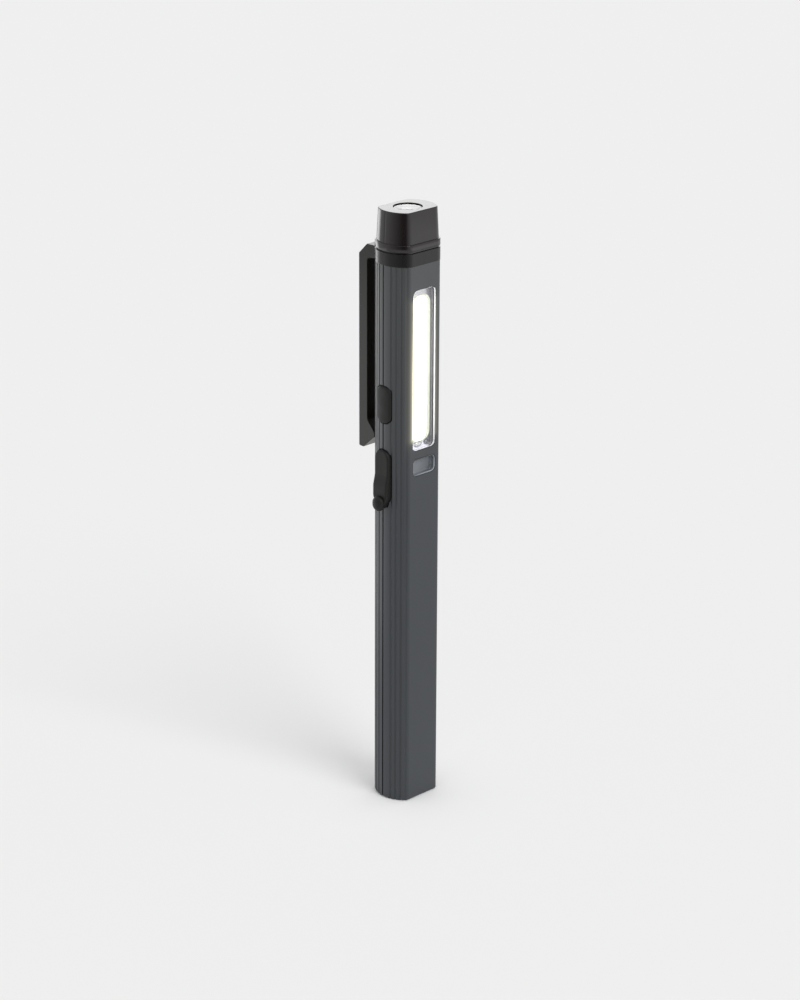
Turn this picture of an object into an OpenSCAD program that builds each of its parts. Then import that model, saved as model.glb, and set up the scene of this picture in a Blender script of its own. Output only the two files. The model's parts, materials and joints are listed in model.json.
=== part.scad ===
// Pocket penlight: a two-shell case with a strip light on its front and a small torch in its head.
// Origin at the centre of the base, +Z up to the head, the strip light faces -Y, the button faces -X.

/* [Case] */
// Overall height, base to head
total_len = 170; // [165:1:190]
// Width across the rounded sides
body_w = 17.4; // [17.2:0.2:20]
// Depth between the front and back flats
body_d = 13; // [12.8:0.2:15]
// Wall thickness
wall = 1.3; // [1.1:0.1:1.5]
// End wall thickness at the base
base_wall = 1.8; // [1.2:0.1:3]
// Rounding of the bottom edge
base_round = 0.8; // [0.4:0.1:1.2]
// Rounding of the corner between a flat and a side
corner_r = 1.5; // [0.8:0.1:1.8]
// How far the parting line lies behind the middle
seam_y = 0.5; // [0:0.1:0.8]
// Width of the groove moulded along the parting line
seam_w = 0.44; // [0.2:0.02:0.5]
// Depth of that groove
seam_deep = 0.45; // [0.15:0.05:0.5]
// Overlap of the shells' tongue and groove
tongue_len = 1; // [0.6:0.1:1.4]

/* [Grip flutes] */
// Flutes on each quarter of the sides
flute_count = 4; // [2:1:4]
// Angle of the first flute from the middle of the side
flute_first = 14.6; // [12:0.2:15]
// Angle from the last flute to the corner of the flat
flute_edge = 4.9; // [4.5:0.1:8]
// Radius of a flute
flute_r = 0.5; // [0.4:0.05:0.6]
// Depth of a flute
flute_deep = 0.2; // [0.1:0.02:0.26]

/* [Head] */
// Height of the tapered cap above its flange
head_len = 8.7; // [7.5:0.1:12]
// Draft of the cap over its height, each side
head_taper = 0.42; // [0.1:0.02:0.6]
// Step from the flange in to the cap
head_step = 0.42; // [0.2:0.02:0.6]
// Rounding of the corners of the head and its ring
head_corner = 2.6; // [1.6:0.1:3]
// Height of the flange
flange_h = 1.9; // [1.6:0.1:3]
// Height of the groove under the flange
flange_gap = 0.5; // [0.3:0.05:0.8]
// Height of the clip ring
collar_h = 3.5; // [3.2:0.1:5]
// How far the ring and flange stand out from the case
ring_step = 0.1; // [0.05:0.05:0.3]
// How far the neck is set in from the case
neck_inset = 1.6; // [1.5:0.1:1.8]
// Diameter of the recess in the top
recess_d = 7.9; // [7:0.1:8.2]
// Depth from the head's top down to the lens
recess_deep = 0.6; // [0.3:0.1:1]
// Thickness of the head lens
torch_lens_t = 1.4; // [1:0.1:1.8]

/* [Strip light] */
// From the inner corner of the case's flat to the window's side
win_side = 0.865; // [0.865:0.05:1.265]
// Window length
win_len = 45.1; // [38:0.1:45.5]
// Corner radius of the window
win_r = 1.5; // [0.8:0.1:2]
// From the clip ring down to the window
win_drop = 6.8; // [6:0.2:9]
// Width of the rim behind the window that the lens seats on
lens_rim = 0.55; // [0.4:0.05:0.55]
// Thickness of a lens rim
rim_t = 0.6; // [0.5:0.05:0.7]
// Thickness of the white frame
frame_t = 1.3; // [0.8:0.1:1.4]
// Thickness of the strip's board
strip_board_t = 1; // [0.8:0.1:1.2]
// Gap between the window's side and the strip's border
strip_side = 0.5; // [0.4:0.1:1]
// Gap between the window's upper end and the lit strip
strip_top = 2.5; // [2:0.1:3]
// Room for the solder joints below the lit strip
joint_room = 2.1; // [2.1:0.1:4]
// Width of the strip's border
dam_w = 1.3; // [0.8:0.1:1.3]
// Width of the border past the strip's ends
dam_end = 0.3; // [0.2:0.05:0.3]
// From the window's side in to the nearer solder joint
joint_side = 1.4; // [1.4:0.05:1.6]
// Between the two solder joints
joint_pitch = 3.2; // [3:0.1:3.6]

/* [Indicator] */
// How much wider it is than the light window, each side
ind_side = 0.1; // [0:0.05:0.2]
// Indicator window height
ind_len = 5.1; // [4:0.1:5.2]
// From the light window down to it
ind_drop = 2.2; // [2:0.1:4]
// Depth of the tray in its face, from the case's flat
ind_deep = 1.2; // [0.4:0.1:1.3]
// Width of the lip round the tray
ind_lip = 0.45; // [0.3:0.05:0.6]

/* [Button] */
// Button width
btn_w = 5.6; // [5.2:0.1:6]
// Button length
btn_len = 10.4; // [9.6:0.2:11.2]
// From the charging cover's top up to the button's middle
btn_rise = 12.8; // [11:0.2:14]
// Radius of the button's corners
btn_r = 2.2; // [1.4:0.1:2.4]
// How far the button stands out
btn_proud = 0.4; // [0.2:0.05:0.8]
// Button travel
btn_travel = 0.5; // [0.2:0.05:0.6]

/* [Charging port] */
// Cover width
port_w = 5.3; // [5.2:0.1:5.8]
// Cover length
port_len = 16.1; // [15.5:0.1:17]
// From the light window's lower end down to the cover's top
port_drop = -0.2; // [-0.4:0.2:3]
// How far the cover stands out at its top
cover_top = 0.8; // [0.6:0.1:1]
// How far it stands out at its foot
cover_foot = 1.5; // [1:0.1:1.7]
// Rounding of the cover's edges
cover_edge = 0.6; // [0.4:0.1:0.7]
// Socket shell width, along the case
usb_w = 8.94; // [8.9:0.02:9]
// Socket shell thickness
usb_t = 3.2; // [3.1:0.02:3.26]
// Socket depth
usb_deep = 7.3; // [6.6:0.1:7.6]
// Pull knob length
knob_len = 4.3; // [4:0.1:5]
// Pull knob width
knob_w = 3.8; // [3:0.1:4]
// How far the knob stands out from the flap
knob_out = 1.6; // [1.2:0.1:2]

/* [Clip] */
// Clip width
clip_w = 11; // [9:0.2:11.2]
// Clip thickness
clip_t = 3.4; // [2.6:0.1:3.8]
// Gap between the case and the clip
clip_gap = 3.3; // [2.6:0.1:3.9]
// Clip length below the top of its arm
clip_len = 57.6; // [50:0.2:60]
// Shoulder cut at the clip's top corner
clip_shoulder = 3.4; // [2:0.1:3.6]
// Gap left between the ridge and the case
ridge_gap = 0.5; // [0.3:0.05:0.8]
// Height of the lead-in below the ridge
lead_in = 3.7; // [3:0.1:4.5]

/* [Electrics] */
// Room round the cell, each side
cell_room = 0.2; // [0.2:0.1:0.7]
// Cell length
cell_len = 44.5; // [40:0.5:44.5]
// Base to the cell's lower end
cell_z = 12; // [11.5:0.5:13]
// Room beside the main board, each side
pcb_side = 1.02; // [1:0.02:1.3]
// Board thickness
pcb_t = 1; // [0.8:0.1:1.2]
// Diameter of the board screws
screw_d = 1.6; // [1.4:0.1:1.8]
// Diameter of the wires
wire_d = 1; // [0.8:0.1:1.1]

/* [Fits] */
// Clearance between fixed pieces
fit = 0.08; // [0.05:0.01:0.12]
// Clearance round moving pieces
slack = 0.2; // [0.15:0.01:0.25]

/* [Hidden] */
$fn = 96;

// Levels along the case
body_top = total_len - head_len - flange_h - flange_gap - collar_h;
collar_top = body_top + collar_h;
flange_z = collar_top + flange_gap;
cap_z = flange_z + flange_h;
win_z1 = body_top - win_drop;
win_z0 = win_z1 - win_len;
win_z = (win_z0 + win_z1) / 2;
ind_z1 = win_z0 - ind_drop;
ind_z = ind_z1 - ind_len / 2;
port_z1 = win_z0 - port_drop;
port_z0 = port_z1 - port_len;
btn_z = port_z1 + btn_rise;

// Levels through the depth
front_y = -body_d / 2;
back_y = body_d / 2;
rim_y0 = front_y + wall;
rim_y1 = rim_y0 + rim_t;
frame_y1 = rim_y1 + frame_t;
board_y1 = frame_y1 + strip_board_t;

// Case section
body_r = body_w / 2;
neck_wall = 1.1;
neck_top = cap_z + 1;
shoulder_t = 1.2;
tongue_share = 0.45;
half_reach = 2 * body_r;
corner_steps = 5;
least_corner = 0.25;
corner_angle = asin(body_d / body_w);
flute_pitch = (corner_angle - flute_edge - flute_first) / (flute_count - 1);

// Widths of the windows and of the strip behind them
win_w = 2 * (half_width(body_d / 2 - wall) - win_side);
ind_w = win_w + 2 * ind_side;
strip_w = win_w - 2 * (strip_side + dam_w);
strip_len = win_len - strip_top - joint_room;
joint_xs = [win_w / 2 - joint_side - joint_pitch, win_w / 2 - joint_side];

// Board and switch levels, set from the socket that it carries
pcb_y0 = seam_y + usb_t / 2;
pcb_y1 = pcb_y0 + pcb_t;
pcb_w = 2 * (half_width(pcb_y1) - pcb_side);
pcb_z0 = cell_z + cell_len + 6;
pcb_z1 = win_z1 + 2.4;
pcb_notch = 0.9;
switch_deep = 3.5;
switch_len = 6;
switch_t = 2 * (pcb_y0 - seam_y);
switch_x = -pcb_w / 2 + pcb_notch;

// Charging port
pocket_x = -body_r + wall + 0.4;
frame_in_x = pocket_x + 0.9;
frame_wall = 1;
flap_x = pocket_x - 0.3;
strap_len = 2.25;
strap_z = port_z1 - strap_len;
socket_drop = 8.5;
port_z = port_z1 - socket_drop;
cover_r = 2.5;
foot_half = 1.5;
foot_taper = 3;
lean_rise = 5.4;
lean_run = 4;
hinge_gap = 0.15;

// Clip
arm_y = back_y + ring_step + 0.05;
clip_in_y = back_y + clip_gap;
clip_out_y = clip_in_y + clip_t;
clip_foot_z = collar_top - clip_len;
ridge_z = clip_foot_z + lead_in;
ridge_y = back_y + ridge_gap;
foot_run = 1.3;
tongue_w = 8;
tongue_t = collar_h - 0.9;

// Battery and screws
cell_d = body_d - 2 * (wall + cell_room);
tab_t = 0.2;
tab_w = 5;
cradle_t = 1.2;
screw_zs = [pcb_z0 + 5, pcb_z1 - 5];
boss_d = 3.8;
head_d = 2.8;
head_h = 0.9;
head_sunk = 0.3;
slot_len = 1.8;
slot_w = 0.3;
slot_deep = 0.4;
pilot_wall = 0.7;
pilot_deep = back_y - pilot_wall - pcb_y1;

// Point on a circle
function polar(r, a) = [r * cos(a), r * sin(a)];

// Half the width inside the case's wall, at a distance from its middle plane
function half_width(y) = sqrt(pow(body_w / 2 - wall, 2) - y * y);

// Corner of a section with radius r and half depth h, rounded by f and run out past the circle
function corner_points(r, h, f) =
    let (
        mid = [sqrt(pow(r - f, 2) - pow(h - f, 2)), h - f],
        low = atan2(mid[1], mid[0]),
        step = (90 - low) / corner_steps,
        last = mid + polar(f, low + step),
        out = last + 2.5 * [sin(low + step / 2), -cos(low + step / 2)]
    )
    concat([for (i = [0:corner_steps - 1]) mid + polar(f, 90 - i * step)], [out, [r + 1, out[1]]]);

// Section of the case, set in by a distance: a circle cut by two flats, with its corners rounded
module section(inset = 0, corner = corner_r) {
    r = body_r - inset;
    quarter = corner_points(r, body_d / 2 - inset, max(corner - inset, least_corner));
    last = len(quarter) - 1;
    intersection() {
        circle(r = r);
        polygon(concat(
            quarter,
            [for (i = [last:-1:0]) [quarter[i][0], -quarter[i][1]]],
            [for (p = quarter) -p],
            [for (i = [last:-1:0]) [-quarter[i][0], quarter[i][1]]]
        ));
    }
}

// Section of the case with its flutes and the groove along the parting line
module fluted_section() {
    difference() {
        section();
        for (side = [-1, 1], half = [-1, 1], i = [0:flute_count - 1])
            translate(flute_at(side, half, i)) circle(r = flute_r, $fn = 24);
        for (side = [-1, 1])
            translate([side * sqrt(body_r * body_r - seam_y * seam_y), seam_y])
                square([2 * seam_deep, seam_w], center = true);
    }
}

function flute_at(side, half, i) =
    let (p = polar(body_r + flute_r - flute_deep, flute_first + i * flute_pitch))
    [side * p[0], half * p[1]];

// Quarter-round profile that eases the bottom edge of something with this half width
function base_profile(half) = concat(
    [for (a = [0:18:90]) [half - base_round + base_round * sin(a), base_round - base_round * cos(a)]],
    [[half, body_top + 1], [-half, body_top + 1]],
    [for (a = [90:-18:0]) [base_round - half - base_round * sin(a), base_round - base_round * cos(a)]]
);

module base_easing() {
    intersection() {
        rotate_extrude()
            intersection() {
                polygon(base_profile(body_r));
                square([body_r + 1, body_top + 2]);
            }
        translate([-body_r - 1, 0, 0])
            rotate([90, 0, 90])
                linear_extrude(2 * body_r + 2) polygon(base_profile(body_d / 2));
    }
}

// Solid blank of the case with its neck
module case_blank() {
    intersection() {
        linear_extrude(body_top) fluted_section();
        base_easing();
    }
    translate([0, 0, body_top - shoulder_t]) linear_extrude(neck_top - body_top + shoulder_t)
        section(neck_inset);
}

module case_hollow() {
    translate([0, 0, base_wall]) linear_extrude(body_top - shoulder_t - base_wall) section(wall);
    translate([0, 0, body_top - 2 * shoulder_t]) linear_extrude(neck_top - body_top + 3 * shoulder_t)
        section(neck_inset + neck_wall);
}

// One side of the parting plane: -1 is the front, 1 the back
module half_space(side) {
    y0 = side < 0 ? -half_reach : seam_y;
    y1 = side < 0 ? seam_y : half_reach;
    translate([-half_reach, y0, -1]) cube([2 * half_reach, y1 - y0, total_len + 2]);
}

// Inner half of the wall, as the tongue and as the groove that takes it
module wall_band(outer, low_y, high_y, low_z, high_z) {
    intersection() {
        translate([0, 0, low_z]) linear_extrude(high_z - low_z)
            difference() {
                section(outer);
                section(wall);
            }
        translate([-half_reach, low_y, low_z])
            cube([2 * half_reach, high_y - low_y, high_z - low_z]);
    }
}

// Rounded rectangle in the YZ plane, swept along X
module side_prism(x0, x1, w, len, r) {
    translate([x0, 0, 0]) rotate([90, 0, 90]) linear_extrude(x1 - x0) rounded(w, len, r);
}

// Rounded rectangle in the XZ plane, swept along Y
module face_prism(y0, y1, w, len, r) {
    translate([0, y1, 0]) rotate([90, 0, 0]) linear_extrude(y1 - y0) rounded(w, len, r);
}

module rounded(w, len, r) {
    square([w - 2 * r, len], center = true);
    square([w, len - 2 * r], center = true);
    for (x = [-1, 1], y = [-1, 1])
        translate([x * (w / 2 - r), y * (len / 2 - r)]) circle(r = r, $fn = 48);
}

// Outline of the charging cover, grown by a margin, with its narrower foot
function cover_outline(grow, z0, z1) =
    let (w = port_w / 2 + grow, f = foot_half + grow, r = cover_r + grow)
    concat(
        [[-f, z0 - grow], [f, z0 - grow], [w, z0 + foot_taper]],
        [for (a = [0:15:90]) [w - r + r * cos(a), z1 + grow - r + r * sin(a)]],
        [for (a = [90:15:180]) [r - w + r * cos(a), z1 + grow - r + r * sin(a)]],
        [[-w, z0 + foot_taper]]
    );

module cover_prism(x0, x1, grow) {
    translate([x0, seam_y, 0]) rotate([90, 0, 90]) linear_extrude(x1 - x0)
        polygon(cover_outline(grow, port_z0, port_z1));
}

// Openings through the side, shared by both shells
module side_openings() {
    translate([0, seam_y, btn_z])
        side_prism(-half_reach, -body_r / 2, btn_w + 2 * slack, btn_len + 2 * slack, btn_r + slack);
    cover_prism(-half_reach, pocket_x, slack);
    translate([0, seam_y, port_z])
        side_prism(pocket_x - 1, frame_in_x + 1, usb_t + 2 * fit, usb_w + 2 * fit, usb_t / 2 - 0.05);
    translate([pocket_x - 1, seam_y, peg_z]) rotate([0, 90, 0])
        cylinder(d = peg_d + 2 * fit, h = frame_in_x - pocket_x + 2, $fn = 32);
}

peg_d = 1.2;
peg_drop = 1.2;
peg_z = port_z1 - peg_drop;

// Thicker wall behind the charging cover, which holds the socket's mouth
module port_frame() {
    intersection() {
        translate([-body_r + wall / 2, seam_y - port_w / 2 - frame_wall, port_z0 - frame_wall])
            cube([frame_in_x + body_r - wall / 2, port_w + 2 * frame_wall, port_len + 2 * frame_wall]);
        linear_extrude(body_top) section(wall / 2);
    }
}

// Cross rib that cradles the cell
module cradle(z) {
    translate([0, 0, z]) linear_extrude(cradle_t)
        difference() {
            intersection() {
                section(wall - 0.05);
                square([cell_d + 0.6, body_d], center = true);
            }
            circle(d = cell_d + 2 * fit);
        }
}

// Stop below or above the cell, open in the middle for its tabs and leads
module end_stop(z) {
    translate([0, 0, z]) linear_extrude(cradle_t)
        difference() {
            intersection() {
                section(wall - 0.05);
                square([cell_d - 2, body_d], center = true);
            }
            square([cell_d, tab_w + 1], center = true);
        }
}

cradle_zs = [for (k = [0.15, 0.5, 0.85]) cell_z + k * cell_len - cradle_t / 2];
stop_zs = [cell_z - tab_t - cradle_t, cell_z + cell_len + tab_t];

module front_shell() {
    color([0.33, 0.335, 0.34])
    difference() {
        union() {
            intersection() {
                union() {
                    difference() {
                        case_blank();
                        case_hollow();
                    }
                    port_frame();
                    for (z = cradle_zs) cradle(z);
                    for (z = stop_zs) end_stop(z);
                }
                half_space(-1);
            }
            wall_band(wall * (1 - tongue_share), seam_y - tongue_len, seam_y + tongue_len,
                base_wall + 1, body_top - shoulder_t - 1);
            strip_rails();
        }
        side_openings();
        translate([0, 0, win_z]) face_prism(-half_reach, 0, win_w, win_len, win_r);
        translate([0, 0, ind_z]) face_prism(-half_reach, 0, ind_w, ind_len, win_r);
    }
}

rail_t = 0.8;
rail_gap = win_w / 2 + lens_rim + fit;
rail_over = 0.2;
rail_y1 = frame_y1 + rail_over;

// Two rails behind the front wall, which hold the lens, frame and board of the strip light
module strip_rails() {
    intersection() {
        for (side = [-1, 1])
            translate([side * (rail_gap + rail_t / 2), (rim_y0 - 0.3 + rail_y1) / 2, win_z])
                cube([rail_t, rail_y1 - rim_y0 + 0.3, win_len + 2 * lens_rim], center = true);
        linear_extrude(body_top) section(wall / 2);
    }
}

module rear_shell() {
    color([0.33, 0.335, 0.34])
    difference() {
        union() {
            intersection() {
                union() {
                    difference() {
                        case_blank();
                        case_hollow();
                    }
                    port_frame();
                    for (z = cradle_zs) cradle(z);
                    for (z = stop_zs) end_stop(z);
                }
                half_space(1);
            }
            for (z = screw_zs)
                translate([0, back_y - wall / 2, z]) rotate([90, 0, 0])
                    cylinder(d = boss_d, h = back_y - wall / 2 - pcb_y1, $fn = 48);
        }
        wall_band(wall * (1 - tongue_share) - fit, seam_y - 1, seam_y + tongue_len + fit,
            base_wall + 1 - fit, body_top - shoulder_t - 1 + fit);
        side_openings();
        for (z = screw_zs)
            translate([0, pcb_y1 - 1, z]) rotate([-90, 0, 0])
                cylinder(d = screw_d + 2 * fit, h = pilot_deep + 1, $fn = 32);
    }
}

// Closed ring between the case and the head, with a notch at its back for the clip's tongue
module clip_collar() {
    color([0.13, 0.13, 0.13])
    difference() {
        translate([0, 0, body_top]) linear_extrude(collar_h)
            difference() {
                section(-ring_step, head_corner);
                section(neck_inset - fit);
            }
        translate([-tongue_w / 2 - slack, back_y - neck_inset, collar_top - tongue_t - slack])
            cube([tongue_w + 2 * slack, 2 * neck_inset, tongue_t + 1]);
    }
}

// Side profile of the clip, as distance back and height
function clip_profile() = concat(
    [[arm_y, collar_top], [clip_out_y - clip_shoulder, collar_top]],
    [[clip_out_y, collar_top - clip_shoulder]],
    [for (a = [0:-15:-90]) [clip_out_y - 1 + cos(a), clip_foot_z + 1 + sin(a)]],
    [[clip_in_y + foot_run, clip_foot_z]],
    [for (a = [250:-20:170]) [ridge_y + 0.8 + 0.8 * cos(a), ridge_z + 0.3 + 0.8 * sin(a)]],
    [for (t = [0.1:0.1:1])
        [ridge_y + (clip_in_y - ridge_y) * (3 * t * t - 2 * t * t * t), ridge_z + 0.5 + 4.5 * t]],
    [for (a = [0:15:90]) [clip_in_y - 1.1 + 1.1 * cos(a), body_top - 1.1 + 1.1 * sin(a)]],
    [[arm_y, body_top]]
);

module pocket_clip() {
    edge = 0.4;
    color([0.16, 0.16, 0.16])
    union() {
        intersection() {
            translate([-clip_w / 2, 0, 0]) rotate([90, 0, 90]) linear_extrude(clip_w)
                polygon(clip_profile());
            translate([0, 0, clip_foot_z - 1]) linear_extrude(clip_len + 2)
                polygon([
                    [-clip_w / 2, 0], [clip_w / 2, 0], [clip_w / 2, clip_out_y - edge],
                    [clip_w / 2 - edge, clip_out_y], [edge - clip_w / 2, clip_out_y],
                    [-clip_w / 2, clip_out_y - edge]
                ]);
        }
        translate([-tongue_w / 2, arm_y - neck_inset + 2 * slack, collar_top - tongue_t])
            cube([tongue_w, neck_inset, tongue_t - 0.1]);
    }
}

cap_edge = 0.25;
cap_seam = 0.2;
slice_t = 0.01;

// Tapered block of the cap between three of its sections, the last one for its eased top edge
module cap_blank(inset = 0) {
    levels = [
        [cap_z, 0], [total_len - cap_edge, head_taper], [total_len - slice_t, head_taper + cap_edge]
    ];
    hull()
        for (level = levels)
            translate([0, 0, level[0]]) linear_extrude(slice_t)
                section(head_step - ring_step + level[1] + inset, head_corner, $fn = 64);
}

// Fine parting line on the cap's two sides
module cap_parting() {
    difference() {
        translate([-half_reach, seam_y - cap_seam / 2, cap_z + slice_t])
            cube([2 * half_reach, cap_seam, head_len]);
        cap_blank(cap_seam / 2);
    }
}

ledge_t = 0.5;
lens_z0 = total_len - recess_deep - torch_lens_t;
cone_top_z = lens_z0 - ledge_t;
led_board_t = 1;
cone_z = neck_top + led_board_t;
cone_d = recess_d + 0.7;

module head_cap() {
    color([0.1, 0.1, 0.1])
    difference() {
        union() {
            cap_blank();
            translate([0, 0, flange_z]) linear_extrude(flange_h) section(-ring_step, head_corner);
            translate([0, 0, collar_top]) linear_extrude(flange_gap + 0.2)
                section(head_step - ring_step, head_corner);
        }
        translate([0, 0, collar_top - 1]) linear_extrude(cone_z - collar_top + 1)
            section(neck_inset - fit);
        translate([0, 0, cone_z - 1]) cylinder(d = cone_d + 2 * fit, h = cone_top_z - cone_z + 1);
        translate([0, 0, cone_top_z - 1]) cylinder(d = recess_d - 1, h = 3);
        translate([0, 0, lens_z0]) cylinder(d = recess_d, h = 5);
        cap_parting();
    }
}

module torch_lens() {
    dome = 0.25;
    r = recess_d / 2 - fit;
    color([0.9, 0.92, 0.95, 0.5])
    translate([0, 0, lens_z0]) rotate_extrude()
        polygon(concat(
            [[0, 0], [r, 0], [r, torch_lens_t - dome]],
            [for (t = [0.8:-0.2:0]) [r * t, torch_lens_t - dome * t * t]]
        ));
}

module torch_reflector() {
    color([0.85, 0.86, 0.88])
    difference() {
        translate([0, 0, cone_z]) cylinder(d = cone_d, h = cone_top_z - cone_z);
        translate([0, 0, cone_z - 0.01])
            cylinder(d1 = 5.2, d2 = recess_d - 1.2, h = cone_top_z - cone_z + 0.02);
    }
}

module torch_led_board() {
    color([0.93, 0.93, 0.9])
    translate([0, 0, neck_top]) linear_extrude(led_board_t) section(neck_inset + 0.1);
}

module torch_led() {
    side = 3.2;
    color([0.95, 0.9, 0.6])
    translate([0, 0, cone_z]) {
        translate([-side / 2, -side / 2, 0]) cube([side, side, 0.6]);
        translate([0, 0, 0.5]) intersection() {
            sphere(d = 2.6, $fn = 32);
            cylinder(d = 4, h = 2);
        }
    }
}

// Ring of points round a route point, square to the route there
function ring(route, i, d, ref) =
    let (
        n = len(route) - 1,
        t = route[min(i + 1, n)] - route[max(i - 1, 0)],
        u = cross(ref, t) / norm(cross(ref, t)),
        v = cross(t, u) / norm(t)
    )
    [for (k = [0:7]) route[i] + d / 2 * (cos(45 * k + 22.5) * u + sin(45 * k + 22.5) * v)];

// Closed solid through rings of points, each with as many points as the next
module skin(rings) {
    m = len(rings[0]);
    n = len(rings);
    polyhedron(
        points = [for (ring = rings) each ring],
        faces = concat(
            [[for (k = [0:m - 1]) k]],
            [for (i = [0:n - 2], k = [0:m - 1])
                let (a = m * i, b = (k + 1) % m) [a + k, a + m + k, a + m + b, a + b]],
            [[for (k = [m - 1:-1:0]) m * (n - 1) + k]]
        )
    );
}

// Unbroken tube along a route
module tube(route, d, ref) {
    skin([for (i = [0:len(route) - 1]) ring(route, i, d, ref)]);
}

// Height off the board at which a wire lies on its pad
pad_y = pcb_y0 - wire_d / 2;

torch_route = [
    [2.6, pad_y, pcb_z1 - 6.4], [2.6, pad_y, pcb_z1 - 3], [2.5, pad_y - 0.3, pcb_z1 - 0.5],
    [2.4, pad_y - 0.9, pcb_z1 + 2], [2.2, 0.2, pcb_z1 + 4.5], [2, 0, pcb_z1 + 7],
    [2, 0, neck_top - 2], [2, 0, neck_top]
];

module torch_leads() {
    color([0.75, 0.1, 0.1]) tube(torch_route, wire_d, [1, 0, 0]);
    color([0.1, 0.1, 0.1]) tube([for (p = torch_route) [-p[0], p[1], p[2]]], wire_d, [1, 0, 0]);
}

joint_z = win_z0 + 1;
strip_z = win_z1 - strip_top - strip_len / 2;

function cob_route(x) = [
    [x, board_y1, joint_z], [x, board_y1 + 1.6, joint_z], [x, pad_y - 1.7, joint_z + 0.3],
    [x, pad_y - 0.8, joint_z + 0.9], [x, pad_y - 0.2, joint_z + 1.8], [x, pad_y, joint_z + 3],
    [x, pad_y, joint_z + 5.4]
];

module cob_leads() {
    color([0.75, 0.1, 0.1]) tube(cob_route(joint_xs[1]), wire_d, [1, 0, 0]);
    color([0.1, 0.1, 0.1]) tube(cob_route(joint_xs[0]), wire_d, [1, 0, 0]);
}

// Lens that fills a window, with a rim that seats behind the wall
module window_lens(w, len, r, face_y, rim) {
    face_prism(face_y, rim_y0 + 0.1, w - 2 * fit, len - 2 * fit, r - fit);
    face_prism(rim_y0, rim_y1, w + 2 * rim, len + 2 * rim, r);
}

module light_window() {
    color([0.92, 0.94, 0.96, 0.4])
    translate([0, 0, win_z]) window_lens(win_w, win_len, win_r, front_y + fit, lens_rim);
}

// How far the white frame reaches in past the window's edge
frame_lip = 0.2;

module cob_reflector() {
    color([0.95, 0.95, 0.95])
    translate([0, 0, win_z]) difference() {
        face_prism(rim_y1, frame_y1, win_w + 2 * lens_rim, win_len + 2 * lens_rim, win_r);
        face_prism(rim_y1 - 1, frame_y1 + 1, win_w - 2 * frame_lip, win_len - 2 * frame_lip,
            win_r - frame_lip);
    }
}

module cob_substrate() {
    color([0.93, 0.93, 0.92])
    translate([0, 0, win_z])
        face_prism(frame_y1, board_y1, win_w + 2 * lens_rim, win_len + 2 * lens_rim, 0.6);
}

module cob_dam() {
    color([0.9, 0.93, 0.7])
    translate([0, 0, strip_z]) difference() {
        face_prism(frame_y1 - 0.6, frame_y1, strip_w + 2 * dam_w, strip_len + 2 * dam_end, strip_w / 2);
        face_prism(frame_y1 - 1, frame_y1 + 1, strip_w + 0.1, strip_len + 0.1, strip_w / 2 - 0.6);
    }
}

module cob_phosphor() {
    color([1, 0.98, 0.8])
    translate([0, 0, strip_z])
        face_prism(frame_y1 - 0.5, frame_y1, strip_w, strip_len, strip_w / 2 - 0.7);
}

joint_r = 0.75;
joint_runs = [1.3, 0.1];

// A long joint and a short one, each domed over its pad
module cob_solder_joints() {
    color([0.8, 0.8, 0.82])
    for (i = [0, 1])
        translate([joint_xs[i], frame_y1, joint_z]) intersection() {
            rotate([0, 90, 0]) rotate_extrude()
                polygon([for (end = [-1, 1], a = end < 0 ? [-90:15:0] : [0:15:90])
                    [joint_r * cos(a), end * joint_runs[i] / 2 + joint_r * sin(a)]]);
            rotate([90, 0, 0]) cylinder(r = 2 * joint_r + joint_runs[i], h = 2 * joint_r, $fn = 32);
        }
}

// Light pipe behind the indicator, midway between the socket's end and the window's rim
ind_rim = 0.45;
pipe_w = 1.6;
pipe_x = (pocket_x + usb_deep + ind_w / 2 + ind_rim) / 2;
chip_t = 0.8;

module indicator_window() {
    color([0.55, 0.6, 0.65, 0.6]) {
        translate([0, 0, ind_z]) difference() {
            window_lens(ind_w, ind_len, win_r, front_y + fit, ind_rim);
            face_prism(front_y - 1, front_y + ind_deep, ind_w - 2 * ind_lip, ind_len - 2 * ind_lip,
                win_r - ind_lip);
        }
        translate([pipe_x - pipe_w / 2, rim_y1 - 0.1, ind_z - ind_len / 2 + 0.4])
            cube([pipe_w, pcb_y0 - chip_t - rim_y1, ind_len - 0.8]);
    }
}

module indicator_leds() {
    color([0.95, 0.95, 0.85])
    for (side = [-1, 1])
        translate([pipe_x - 0.8, pcb_y0 - chip_t, ind_z + side * 1 - 0.4]) cube([1.6, chip_t, 0.8]);
}

flange_out = 0.7;
flange_side = 0.45;

// Curved flange inside the wall that keeps the button from falling out
module button_flange() {
    r = body_r - wall - slack;
    intersection() {
        difference() {
            cylinder(r = r, h = total_len);
            translate([0, 0, -1]) cylinder(r = r - 0.6, h = total_len + 2);
        }
        translate([0, seam_y, btn_z])
            side_prism(-half_reach, 0, btn_w + 2 * flange_side, btn_len + 2 * flange_out, btn_r);
    }
}

crown_deep = 0.55;
crown_run = 1.3;

// Section through the crown: it follows the case's round side and drops away at both edges
function crown_section() = concat(
    [[1.2 - body_r, seam_y + btn_w / 2]],
    [for (t = [1:-0.1:-1])
        let (y = seam_y + t * btn_w / 2)
        [crown_deep * (1 - sqrt(1 - pow(t, 6))) - sqrt(pow(body_r + btn_proud, 2) - y * y), y]],
    [[1.2 - body_r, seam_y - btn_w / 2]]
);

// Profile along the crown, as radius and height, rounded off at its two ends
function crown_profile() = concat(
    [[0, -btn_len / 2]],
    [for (end = [-1, 1], a = end < 0 ? [0:15:90] : [90:-15:0])
        [body_r + btn_proud - crown_deep * (1 - sin(a)), end * (btn_len / 2 - crown_run * (1 - cos(a)))]],
    [[0, btn_len / 2]]
);

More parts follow.
